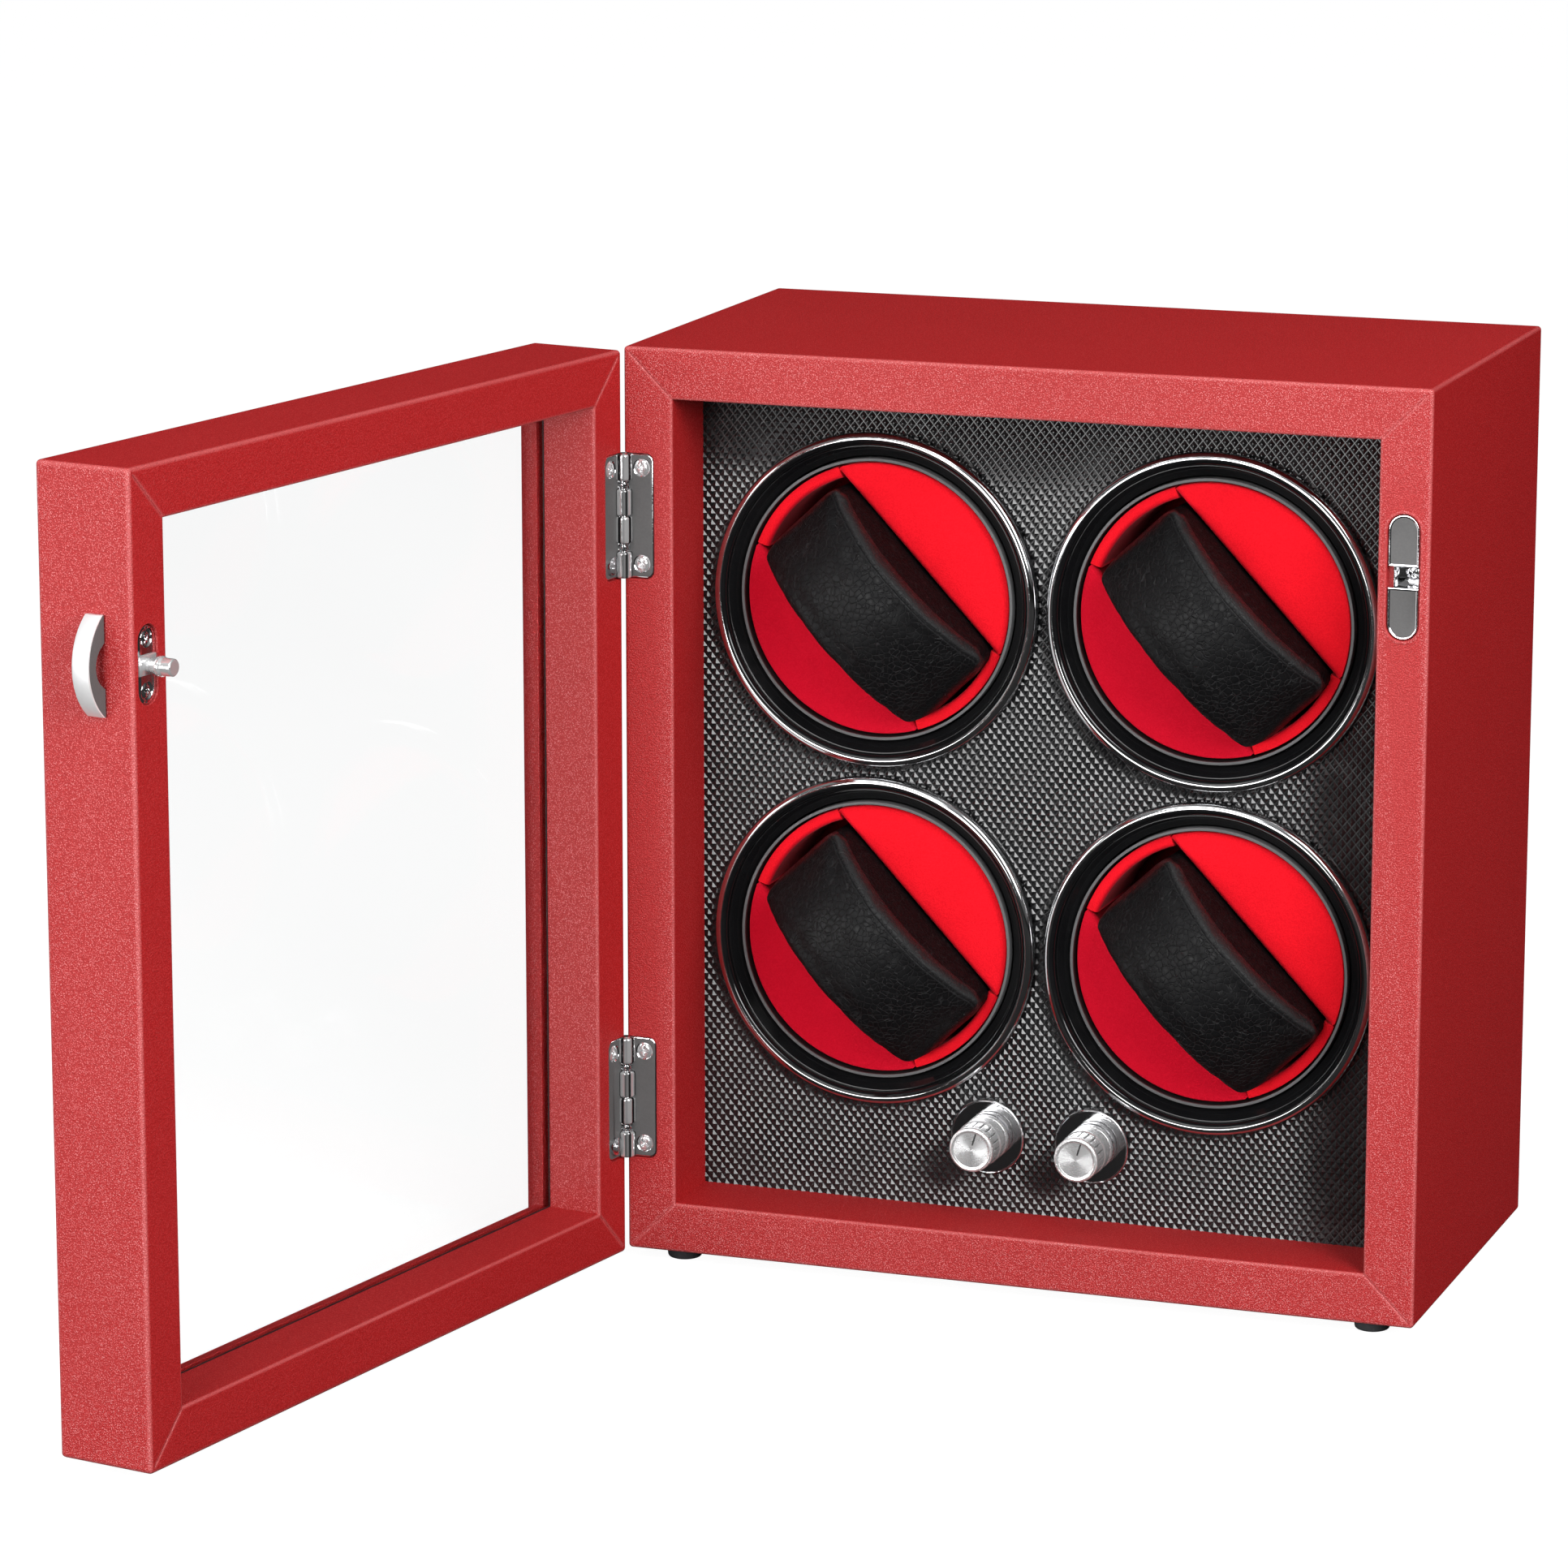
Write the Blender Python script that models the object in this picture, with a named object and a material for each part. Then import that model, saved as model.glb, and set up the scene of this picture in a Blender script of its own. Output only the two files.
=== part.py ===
"""Watch winder box for four watches: a leather covered cabinet with a glazed door standing open.

Sizes are in millimetres and become metres when a mesh is made. While it is modelled, the cabinet's
front bottom left corner is the origin, +X runs along the front, +Y to the back and +Z up.
The finished part is then centred over the middle of its own footprint, with its feet at zero.
"""

from math import acos, asin, atan2, ceil, cos, pi, radians, sin, sqrt

import bmesh
import bpy
from mathutils import Matrix, Vector

MM = 0.001

# Middle of a quarter round, as a share of its radius: along the radius, and left over
ARC_MIDDLE = sqrt(0.5)
ARC_REST = 1.0 - ARC_MIDDLE

# Clearances
FIT = 0.3
RUNNING_GAP = 0.6

# Cabinet boards, covered in leather
BOARD = 15.6
EDGE_ROUND = 1.2
DISPLAY_RECESS = 26.5
PANEL_THICKNESS = 4.0
PANEL_SHOULDER = 3.0
BACK_THICKNESS = 5.0
BACK_LEDGE = 5.0
BACK_INSET = 0.7

# Space round the four turntables
SIDE_MARGIN = 4.8
TOP_MARGIN = 10.3
CONTROL_STRIP = 31.1
TABLE_GAP_ACROSS = 2.8
TABLE_GAP_UPRIGHT = 3.0
REAR_SPACE = 40.0

# Turntable: a cup that turns inside a fixed bezel
CUP_RADIUS = 43.4
CUP_WALL = 1.3
CUP_DEPTH = 50.0
CUP_FLOOR = 2.5
CUP_BOSS_LENGTH = 2.6
CUP_BOSS_RADIUS = 8.0
RIM_PROUD = 2.0
BEZEL_WALL = 1.5
BEZEL_SPIGOT = 9.0
BEZEL_CONE = 3.0
BEZEL_LIP = 0.6
BEZEL_LIP_PROUD = 3.0
BEZEL_CREST = 2.0
BEZEL_CREST_PROUD = 4.8

# Velvet liner with a slot, and the pillow in the slot
LINER_DROP = 2.0
LINER_END_WALL = 1.2
SLOT_WIDTH = 34.7
SLOT_DEPTH = 34.0
SLOT_TURN = 46.6
PILLOW_SIDE_GAP = 1.85
PILLOW_END_GAP = 0.6
STRAP_GAP = 3.9
PILLOW_CREST = 27.7
PILLOW_END = 12.0
PILLOW_ROUND = 2.0

# Drive train behind the cups
SPINDLE_RADIUS = 3.0
BUSH_WALL = 3.0
BUSH_FLANGE = 1.0
BUSH_FLANGE_WIDTH = 2.0
CHASSIS_THICKNESS = 4.0
POST_RADIUS = 5.0
PULLEY_RADIUS = 21.5
PULLEY_WIDTH = 6.0
GROOVE_DEPTH = 2.5
BELT_RADIUS = 1.2
MOTOR_SPACING = 31.0
MOTOR_RADIUS = 12.0
MOTOR_LENGTH = 30.0
MOTOR_SHAFT_RADIUS = 1.5
MOTOR_SHAFT_SEAT = 6.0
MOTOR_PULLEY_RADIUS = 6.0

# Controls and power inlet
KNOB_SPACING = 33.4
KNOB_HEIGHT = 23.4
KNOB_RADIUS = 7.2
KNOB_LENGTH = 16.0
KNOB_CHAMFER = 0.9
KNOB_SKIRT = 2.4
KNOB_GROOVE = 0.5
KNOB_SHAFT_RADIUS = 1.6
DIAL_RADIUS = 11.8
DIAL_THICKNESS = 0.8
CONTROL_NECK_RADIUS = 3.4
CONTROL_BODY_RADIUS = 8.0
CONTROL_BODY_DEPTH = 9.0
CIRCUIT_BOARD_MARGIN = 20.0
CIRCUIT_BOARD_HEIGHT = 22.0
CIRCUIT_BOARD_THICKNESS = 1.6
INLET_FROM_SIDE = 48.0
INLET_HEIGHT = 34.0
INLET_RADIUS = 5.5
INLET_FLANGE = 2.0
INLET_DEPTH = 12.0
INLET_SOCKET_RADIUS = 2.9
INLET_PIN_RADIUS = 1.0

# Door
DOOR_THICKNESS = 30.5
DOOR_GAP = 2.0
DOOR_DROP = 1.1
DOOR_OPEN = 100.4
GLASS_SETBACK = 17.6
GLASS_THICKNESS = 3.0
GLASS_GROOVE = 4.0
WINDOW_ROUND = 9.4

# Hinges
HINGE_HEIGHT = 38.0
HINGE_FROM_TOP = 51.6
HINGE_FROM_BOTTOM = 48.6
LEAF_WIDTH = 9.4
LEAF_THICKNESS = 1.2
LEAF_CORNER = 2.4
KNUCKLE_RADIUS = 2.7
KNUCKLE_LENGTH = 8.1
PIN_RADIUS = 1.4

# Latch on the door, keep on the cabinet, pull on the door's edge
LATCH_FROM_TOP = 55.6
LATCH_FROM_EDGE = 7.1
LATCH_LENGTH = 22.0
LATCH_WIDTH = 8.7
LATCH_THICKNESS = 1.2
LATCH_SCREW_SPACING = 14.4
STUD_LENGTH = 9.3
STUD_RADIUS = 2.5
STUD_BULGE = 0.4
STUD_STEM_RADIUS = 1.9
STUD_STEM = 1.4
STUD_FLARE = 2.3
STUD_BAND = 0.8
STUD_NECK = 0.7
KEEP_LENGTH = 37.0
KEEP_WIDTH = 9.4
KEEP_THICKNESS = 1.6
KEEP_NOTCH = 1.7
KEEP_GAP = 6.0
KEEP_WALL = 1.0
KEEP_SPARE_DEPTH = 2.1
HANDLE_LENGTH = 28.0
HANDLE_WIDTH = 5.6
HANDLE_REACH = 8.0
HANDLE_END = 1.4
HANDLE_FINGER_LENGTH = 12.4
HANDLE_FINGER_DEPTH = 4.0
HANDLE_FROM_FACE = 11.0

# Screws
SCREW_HEAD_RADIUS = 2.1
SCREW_HEAD_DEPTH = 1.0
SCREW_HEAD_CROWN = 0.4
SCREW_SHANK_RADIUS = 1.1
SCREW_LENGTH = 8.0

# Feet
FOOT_RADIUS = 5.5
FOOT_HEIGHT = 3.7
FOOT_ROUND = 1.2
FOOT_FROM_SIDE = 15.0
FOOT_FROM_FRONT = 9.8

# Facets of round pieces
WIDE_FACETS = 36
MID_FACETS = 20
FINE_FACETS = 14

# Widths and heights that follow from the turntables
BEZEL_BORE = CUP_RADIUS + RUNNING_GAP
BEZEL_LIP_RADIUS = BEZEL_BORE + BEZEL_CONE
BEZEL_CREST_RADIUS = BEZEL_LIP_RADIUS + BEZEL_LIP + BEZEL_CREST
BEZEL_RADIUS = BEZEL_CREST_RADIUS + BEZEL_CREST
TABLE_PITCH_X = 2.0 * BEZEL_RADIUS + TABLE_GAP_ACROSS
TABLE_PITCH_Z = 2.0 * BEZEL_RADIUS + TABLE_GAP_UPRIGHT
CABINET_WIDTH = 2.0 * (BOARD + SIDE_MARGIN + BEZEL_RADIUS) + TABLE_PITCH_X
LOWER_TABLE_Z = BOARD + CONTROL_STRIP + BEZEL_RADIUS
UPPER_TABLE_Z = LOWER_TABLE_Z + TABLE_PITCH_Z
CABINET_HEIGHT = UPPER_TABLE_Z + BEZEL_RADIUS + TOP_MARGIN + BOARD
CABINET_MIDDLE = CABINET_WIDTH / 2.0
KNOB_Z = BOARD + KNOB_HEIGHT
MOTOR_Z = (LOWER_TABLE_Z + UPPER_TABLE_Z) / 2.0

# Slot in the liner, and the pillow that fits it with more room at one end for a strap
SLOT_RADIUS = CUP_RADIUS - CUP_WALL - FIT - LINER_END_WALL
PILLOW_WIDTH = SLOT_WIDTH - 2.0 * PILLOW_SIDE_GAP
SLOT_REACH = sqrt(SLOT_RADIUS ** 2 - (PILLOW_WIDTH / 2.0) ** 2)
PILLOW_LENGTH = 2.0 * SLOT_REACH - PILLOW_END_GAP - STRAP_GAP
PILLOW_SHIFT = (STRAP_GAP - PILLOW_END_GAP) / 2.0

# Places along the depth, from the cabinet's front face
PANEL_FRONT = DISPLAY_RECESS
PANEL_BACK = PANEL_FRONT + PANEL_THICKNESS
CUP_RIM = PANEL_FRONT - RIM_PROUD
CUP_BACK = CUP_RIM + CUP_DEPTH
CUP_FLOOR_FRONT = CUP_BACK - CUP_FLOOR
BOSS_BACK = CUP_BACK + CUP_BOSS_LENGTH
FLANGE_FRONT = BOSS_BACK + FIT
CHASSIS_FRONT = FLANGE_FRONT + BUSH_FLANGE + FIT
CHASSIS_BACK = CHASSIS_FRONT + CHASSIS_THICKNESS
PULLEY_FRONT = CHASSIS_BACK + RUNNING_GAP
PULLEY_BACK = PULLEY_FRONT + PULLEY_WIDTH
BELT_PLANE = (PULLEY_FRONT + PULLEY_BACK) / 2.0
BACK_FRONT = PULLEY_BACK + REAR_SPACE
LINER_FRONT = CUP_RIM + LINER_DROP
SLOT_FLOOR = LINER_FRONT + SLOT_DEPTH
CABINET_DEPTH = BACK_FRONT + BACK_THICKNESS + BACK_INSET
KEEP_POCKET = STUD_LENGTH - DOOR_GAP + KEEP_SPARE_DEPTH

# Insets of the cabinet's inner walls
PANEL_SEAT = BOARD - PANEL_SHOULDER
BACK_SEAT = PANEL_SEAT - BACK_LEDGE

# Places of the hinges, the latch and the keep
LATCH_HEIGHT = CABINET_HEIGHT - LATCH_FROM_TOP
HINGE_AXIS_Y = -DOOR_GAP / 2.0
HINGE_HEIGHTS = {
    "upper": CABINET_HEIGHT - HINGE_FROM_TOP,
    "lower": HINGE_FROM_BOTTOM,
}
KEEP_CENTRE_X = CABINET_WIDTH - LATCH_FROM_EDGE - KEEP_NOTCH / 2.0
STUD_X = CABINET_WIDTH - LATCH_FROM_EDGE

TABLES = {
    "upper_left": (CABINET_MIDDLE - TABLE_PITCH_X / 2.0, UPPER_TABLE_Z),
    "upper_right": (CABINET_MIDDLE + TABLE_PITCH_X / 2.0, UPPER_TABLE_Z),
    "lower_left": (CABINET_MIDDLE - TABLE_PITCH_X / 2.0, LOWER_TABLE_Z),
    "lower_right": (CABINET_MIDDLE + TABLE_PITCH_X / 2.0, LOWER_TABLE_Z),
}
MOTORS = {
    "left": CABINET_MIDDLE - MOTOR_SPACING / 2.0,
    "right": CABINET_MIDDLE + MOTOR_SPACING / 2.0,
}
KNOBS = {
    "left": CABINET_MIDDLE - KNOB_SPACING / 2.0,
    "right": CABINET_MIDDLE + KNOB_SPACING / 2.0,
}

# Finishes: colour, roughness, metallic
FINISHES = {
    "red_leather": ((0.46, 0.035, 0.038), 0.5, 0.0),
    "diamond_panel": ((0.02, 0.02, 0.022), 0.35, 0.0),
    "chrome": ((0.8, 0.8, 0.82), 0.08, 1.0),
    "spun_aluminium": ((0.78, 0.78, 0.78), 0.25, 1.0),
    "bezel_black": ((0.012, 0.012, 0.013), 0.12, 0.4),
    "cup_plastic": ((0.2, 0.2, 0.2), 0.45, 0.0),
    "red_velvet": ((0.75, 0.012, 0.02), 0.9, 0.0),
    "black_leather": ((0.015, 0.015, 0.016), 0.5, 0.0),
    "clear_glass": ((0.93, 0.95, 0.95), 0.03, 0.0),
    "rubber": ((0.05, 0.05, 0.05), 0.7, 0.0),
    "dial_black": ((0.01, 0.01, 0.01), 0.4, 0.0),
    "steel": ((0.55, 0.55, 0.56), 0.3, 1.0),
    "nylon": ((0.75, 0.73, 0.66), 0.5, 0.0),
    "circuit_board": ((0.02, 0.18, 0.07), 0.5, 0.0),
    "grey_plate": ((0.16, 0.16, 0.17), 0.6, 0.0),
}


def clear_scene():
    """Removes every object that is already in the scene."""
    for item in list(bpy.data.objects):
        bpy.data.objects.remove(item, do_unlink=True)


def finish_material(finish):
    """The Principled material of a named finish, made once."""
    found = bpy.data.materials.get(finish)
    if found:
        return found
    colour, roughness, metallic = FINISHES[finish]
    material = bpy.data.materials.new(finish)
    material.use_nodes = True
    shader = material.node_tree.nodes["Principled BSDF"]
    shader.inputs["Base Color"].default_value = (*colour, 1.0)
    shader.inputs["Roughness"].default_value = roughness
    shader.inputs["Metallic"].default_value = metallic
    if finish == "clear_glass":
        shader.inputs["Transmission Weight"].default_value = 1.0
    return material


def add_empty(name, place, parent=None, turn=(0.0, 0.0, 0.0)):
    """An empty that carries the pieces of one body, at a place in millimetres."""
    empty = bpy.data.objects.new(name, None)
    bpy.context.scene.collection.objects.link(empty)
    empty.parent = parent
    empty.location = Vector(place) * MM
    empty.rotation_euler = turn
    return empty


def add_object(name, bm, finish, parent, smooth_angle=40.0):
    """Turns a bmesh in millimetres into a closed, outward facing object in metres."""
    bmesh.ops.remove_doubles(bm, verts=bm.verts, dist=0.001)
    bmesh.ops.recalc_face_normals(bm, faces=bm.faces)
    bmesh.ops.scale(bm, vec=(MM, MM, MM), verts=bm.verts)
    mesh = bpy.data.meshes.new(name)
    bm.to_mesh(mesh)
    bm.free()
    mesh.shade_smooth()
    mesh.set_sharp_from_angle(angle=radians(smooth_angle))
    item = bpy.data.objects.new(name, mesh)
    bpy.context.scene.collection.objects.link(item)
    item.parent = parent
    if finish:
        mesh.materials.append(finish_material(finish))
    return item


def add_cutter(name, bm, parent):
    """A hidden object that only shapes others."""
    cutter = add_object(name, bm, None, parent)
    cutter.hide_render = True
    cutter.display_type = "WIRE"
    return cutter


def combine(item, tool, operation):
    """Joins to, cuts from or crosses an object with a hidden one."""
    modifier = item.modifiers.new(tool.name, "BOOLEAN")
    modifier.operation = operation
    modifier.solver = "EXACT"
    modifier.object = tool


def arc(centre, radius, start, end, steps):
    """Points along an arc, angles in degrees, both ends included."""
    points = []
    for step in range(steps + 1):
        angle = radians(start + (end - start) * step / steps)
        points.append((centre[0] + radius * cos(angle), centre[1] + radius * sin(angle)))
    return points


def box_bmesh(low, high):
    """A plain box between two corners."""
    bm = bmesh.new()
    size = [b - a for a, b in zip(low, high)]
    middle = [(a + b) / 2.0 for a, b in zip(low, high)]
    placed = Matrix.Translation(middle) @ Matrix.Diagonal((*size, 1.0))
    bmesh.ops.create_cube(bm, size=1.0, matrix=placed)
    return bm


def turned_bmesh(profile, facets, centre=(0.0, 0.0), closed=False):
    """Spins a profile of (radius, y) points about a line along Y through a centre (x, z)."""
    bm = bmesh.new()
    verts = [bm.verts.new((centre[0] + r, y, centre[1])) for r, y in profile]
    edges = [bm.edges.new(pair) for pair in zip(verts, verts[1:])]
    if closed:
        edges.append(bm.edges.new((verts[-1], verts[0])))
    bmesh.ops.spin(
        bm,
        geom=verts + edges,
        cent=(centre[0], 0.0, centre[1]),
        axis=(0.0, 1.0, 0.0),
        angle=2.0 * pi,
        steps=facets,
        use_merge=True,
    )
    return bm


def upright_bmesh(profile, facets, centre=(0.0, 0.0)):
    """Spins a profile of (radius, z) points about an upright line through a centre (x, y)."""
    bm = turned_bmesh(profile, facets)
    lean = Matrix.Rotation(pi / 2.0, 4, "X")
    bmesh.ops.transform(bm, matrix=Matrix.Translation((*centre, 0.0)) @ lean, verts=bm.verts)
    return bm


def slab_bmesh(outline, start, end, plane="XZ"):
    """Extrudes a flat outline: XZ along Y, or YZ along X, or XY along Z."""
    place = {
        "XZ": lambda a, b, d: (a, d, b),
        "YZ": lambda a, b, d: (d, a, b),
        "XY": lambda a, b, d: (a, b, d),
    }[plane]
    bm = bmesh.new()
    face = bm.faces.new([bm.verts.new(place(a, b, start)) for a, b in outline])
    grown = bmesh.ops.extrude_face_region(bm, geom=[face])["geom"]
    moved = [part for part in grown if isinstance(part, bmesh.types.BMVert)]
    bmesh.ops.translate(bm, vec=place(0.0, 0.0, end - start), verts=moved)
    return bm


def stadium(centre, width, length, grow=0.0, steps=8):
    """An upright slot outline with round ends, in X and Z."""
    radius = width / 2.0
    reach = length / 2.0 - radius
    top = arc((centre[0], centre[1] + reach), radius + grow, 0.0, 180.0, steps)
    bottom = arc((centre[0], centre[1] - reach), radius + grow, 180.0, 360.0, steps)
    return top + bottom


def mitred_frame_bmesh(width, height, profile, bottom=0.0):
    """Carries a closed profile of (inset, y) points round a rectangle, mitred at the corners."""
    bm = bmesh.new()
    loops = []
    for right, top in ((0, 0), (1, 0), (1, 1), (0, 1)):
        loop = []
        for inset, y in profile:
            x = width - inset if right else inset
            z = height - inset if top else inset
            loop.append(bm.verts.new((x, y, z + bottom)))
        loops.append(loop)
    for side, loop in enumerate(loops):
        following = loops[(side + 1) % len(loops)]
        for point in range(len(profile)):
            after = (point + 1) % len(profile)
            bm.faces.new((loop[point], following[point], following[after], loop[after]))
    return bm


def round_edges(bm, chosen, radius, segments=2):
    """Rounds the edges whose two ends both pass a test."""
    edges = [edge for edge in bm.edges if all(chosen(vert.co) for vert in edge.verts)]
    bmesh.ops.bevel(
        bm,
        geom=edges,
        offset=radius,
        segments=segments,
        profile=0.5,
        affect="EDGES",
        clamp_overlap=True,
    )


def on_outer_edge(width, height, front, back, bottom=0.0):
    """A test for points on the outer corners of a frame."""

    def test(point):
        at_side = min(abs(point.x), abs(point.x - width)) < FIT / 10.0
        at_end = min(abs(point.z - bottom), abs(point.z - bottom - height)) < FIT / 10.0
        at_face = min(abs(point.y - front), abs(point.y - back)) < FIT / 10.0
        return at_side and at_end and at_face

    return test


def screw_profile(grow=0.0):
    """Half outline of a raised countersunk screw, its rim at zero and its shank along +Y."""
    neck = SCREW_HEAD_DEPTH + grow
    return [
        (0.0, -SCREW_HEAD_CROWN - grow),
        (SCREW_HEAD_RADIUS * ARC_MIDDLE + grow, -SCREW_HEAD_CROWN * ARC_MIDDLE - grow),
        (SCREW_HEAD_RADIUS + grow, -grow),
        (SCREW_HEAD_RADIUS + grow, FIT / 2.0),
        (SCREW_SHANK_RADIUS + grow, neck),
        (SCREW_SHANK_RADIUS + grow, SCREW_LENGTH + grow),
        (0.0, SCREW_LENGTH + grow),
    ]


def add_screw(name, x, rim_y, z, direction, parent):
    """A screw and the hidden shape of its hole, pointing along +Y or -Y."""
    item_profile = [(r, rim_y + direction * y) for r, y in screw_profile()]
    hole_profile = [(r, rim_y + direction * y) for r, y in screw_profile(FIT)]
    add_object(name, turned_bmesh(item_profile, FINE_FACETS, (x, z)), "chrome", parent)
    return add_cutter(f"{name}_hole", turned_bmesh(hole_profile, FINE_FACETS, (x, z)), parent)


def build_cabinet(root):
    """The leather covered carcass: four boards, a shoulder for the panel and a ledge for the back."""
    shoulder = PANEL_FRONT - FIT
    ledge = BACK_FRONT - FIT
    profile = [
        (0.0, 0.0),
        (BOARD, 0.0),
        (BOARD, shoulder),
        (PANEL_SEAT, shoulder),
        (PANEL_SEAT, ledge),
        (BACK_SEAT, ledge),
        (BACK_SEAT, CABINET_DEPTH),
        (0.0, CABINET_DEPTH),
    ]
    bm = mitred_frame_bmesh(CABINET_WIDTH, CABINET_HEIGHT, profile)
    round_edges(bm, on_outer_edge(CABINET_WIDTH, CABINET_HEIGHT, 0.0, CABINET_DEPTH), EDGE_ROUND)
    return add_object("cabinet_shell", bm, "red_leather", root)


def build_back(root):
    """The panel that closes the back, with a hole for the power inlet."""
    inset = BACK_SEAT + FIT
    low = (inset, BACK_FRONT, inset)
    high = (CABINET_WIDTH - inset, BACK_FRONT + BACK_THICKNESS, CABINET_HEIGHT - inset)
    back = add_object("back_panel", box_bmesh(low, high), "red_leather", root)
    place = (INLET_FROM_SIDE, INLET_HEIGHT)
    hole = [
        (0.0, BACK_FRONT - BACK_THICKNESS),
        (INLET_RADIUS + FIT, BACK_FRONT - BACK_THICKNESS),
        (INLET_RADIUS + FIT, CABINET_DEPTH + BACK_THICKNESS),
        (0.0, CABINET_DEPTH + BACK_THICKNESS),
    ]
    combine(back, add_cutter("inlet_hole", turned_bmesh(hole, FINE_FACETS, place), root), "DIFFERENCE")
    face = BACK_FRONT + BACK_THICKNESS + FIT
    rim = face + BACK_INSET
    socket_floor = rim - INLET_DEPTH + BACK_THICKNESS
    inlet = [
        (0.0, rim - INLET_DEPTH),
        (INLET_RADIUS, rim - INLET_DEPTH),
        (INLET_RADIUS, face),
        (INLET_RADIUS + INLET_FLANGE, face),
        (INLET_RADIUS + INLET_FLANGE, rim),
        (INLET_SOCKET_RADIUS, rim),
        (INLET_SOCKET_RADIUS, socket_floor),
        (INLET_PIN_RADIUS, socket_floor),
        (INLET_PIN_RADIUS, rim - INLET_FLANGE),
        (0.0, rim - INLET_FLANGE),
    ]
    add_object("power_inlet", turned_bmesh(inlet, FINE_FACETS, place), "dial_black", root)


def build_front_panel(root):
    """The embossed panel, with holes for the bezels and for the controls."""
    inset = PANEL_SEAT + FIT
    low = (inset, PANEL_FRONT, inset)
    high = (CABINET_WIDTH - inset, PANEL_BACK, CABINET_HEIGHT - inset)
    panel = add_object("front_panel", box_bmesh(low, high), "diamond_panel", root)
    before = PANEL_FRONT - PANEL_THICKNESS
    after = PANEL_BACK + PANEL_THICKNESS
    holes = [(f"bezel_hole_{key}", place, BEZEL_BORE + BEZEL_WALL + FIT, WIDE_FACETS)
             for key, place in TABLES.items()]
    holes += [(f"control_hole_{key}", (x, KNOB_Z), CONTROL_NECK_RADIUS + FIT, FINE_FACETS)
              for key, x in KNOBS.items()]
    for name, place, radius, facets in holes:
        profile = [(0.0, before), (radius, before), (radius, after), (0.0, after)]
        combine(panel, add_cutter(name, turned_bmesh(profile, facets, place), root), "DIFFERENCE")


def build_chassis(root):
    """The plate that carries the spindles and motors, with posts that reach the front panel."""
    inset = PANEL_SEAT + FIT
    low = (inset, CHASSIS_FRONT, inset)
    high = (CABINET_WIDTH - inset, CHASSIS_BACK, CABINET_HEIGHT - inset)
    chassis = add_object("chassis_plate", box_bmesh(low, high), "grey_plate", root)
    reach = inset + POST_RADIUS + FIT
    for x in (reach, CABINET_WIDTH - reach):
        for z in (reach, CABINET_HEIGHT - reach):
            overlap = CHASSIS_FRONT + CHASSIS_THICKNESS / 2.0
            front = PANEL_BACK + FIT
            post = [(0.0, front), (POST_RADIUS, front), (POST_RADIUS, overlap), (0.0, overlap)]
            name = f"post_{round(x)}_{round(z)}"
            combine(chassis, add_cutter(name, turned_bmesh(post, FINE_FACETS, (x, z)), root), "UNION")
    holes = [(f"bush_hole_{key}", place, SPINDLE_RADIUS + FIT + BUSH_WALL + FIT)
             for key, place in TABLES.items()]
    holes += [(f"motor_hole_{key}", (x, MOTOR_Z), MOTOR_SHAFT_RADIUS + RUNNING_GAP)
              for key, x in MOTORS.items()]
    before = CHASSIS_FRONT - CHASSIS_THICKNESS
    after = CHASSIS_BACK + CHASSIS_THICKNESS
    for name, place, radius in holes:
        profile = [(0.0, before), (radius, before), (radius, after), (0.0, after)]
        combine(chassis, add_cutter(name, turned_bmesh(profile, FINE_FACETS, place), root), "DIFFERENCE")


def build_bezel(key, place, root):
    """A fixed ring on the panel: chrome half round, thin lip, black cone, spigot through the panel."""
    spigot = BEZEL_BORE + BEZEL_WALL
    seat = PANEL_FRONT - FIT
    lip_front = PANEL_FRONT - BEZEL_LIP_PROUD
    crest_front = PANEL_FRONT - BEZEL_CREST_PROUD
    step_radius = BEZEL_LIP_RADIUS + BEZEL_LIP
    shoulder = BEZEL_CREST * ARC_MIDDLE
    shoulder_front = crest_front + BEZEL_CREST * ARC_REST
    profile = [
        (BEZEL_BORE, PANEL_FRONT + BEZEL_SPIGOT),
        (BEZEL_BORE, PANEL_FRONT),
        (BEZEL_LIP_RADIUS, lip_front),
        (step_radius, lip_front),
        (BEZEL_CREST_RADIUS - shoulder, shoulder_front),
        (BEZEL_CREST_RADIUS, crest_front),
        (BEZEL_CREST_RADIUS + shoulder, shoulder_front),
        (BEZEL_RADIUS, seat),
        (spigot, seat),
        (spigot, PANEL_FRONT + BEZEL_SPIGOT),
    ]
    bm = turned_bmesh(profile, WIDE_FACETS, place, closed=True)
    add_object(f"bezel_{key}", bm, "bezel_black", root, smooth_angle=50.0)


def build_cup(key, table):
    """The turning cup, with a boss behind it that takes the spindle."""
    front = CUP_RIM - PANEL_FRONT
    floor = CUP_FLOOR_FRONT - PANEL_FRONT
    back = CUP_BACK - PANEL_FRONT
    boss = BOSS_BACK - PANEL_FRONT
    bore = SPINDLE_RADIUS + FIT
    inner = CUP_RADIUS - CUP_WALL
    bore_end = back - CUP_FLOOR / 2.0
    profile = [
        (0.0, floor),
        (inner, floor),
        (inner, front),
        (CUP_RADIUS, front),
        (CUP_RADIUS, back),
        (CUP_BOSS_RADIUS, back),
        (CUP_BOSS_RADIUS, boss),
        (bore, boss),
        (bore, bore_end),
        (0.0, bore_end),
    ]
    add_object(f"turning_cup_{key}", turned_bmesh(profile, WIDE_FACETS), "cup_plastic", table)


def slot_outline():
    """The slot in the liner: two straight sides and two round ends."""
    turn = asin(SLOT_WIDTH / 2.0 / SLOT_RADIUS) * 180.0 / pi
    steps = 6
    right = arc((0.0, 0.0), SLOT_RADIUS, -turn, turn, steps)
    left = arc((0.0, 0.0), SLOT_RADIUS, 180.0 - turn, 180.0 + turn, steps)
    return right + left


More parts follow.
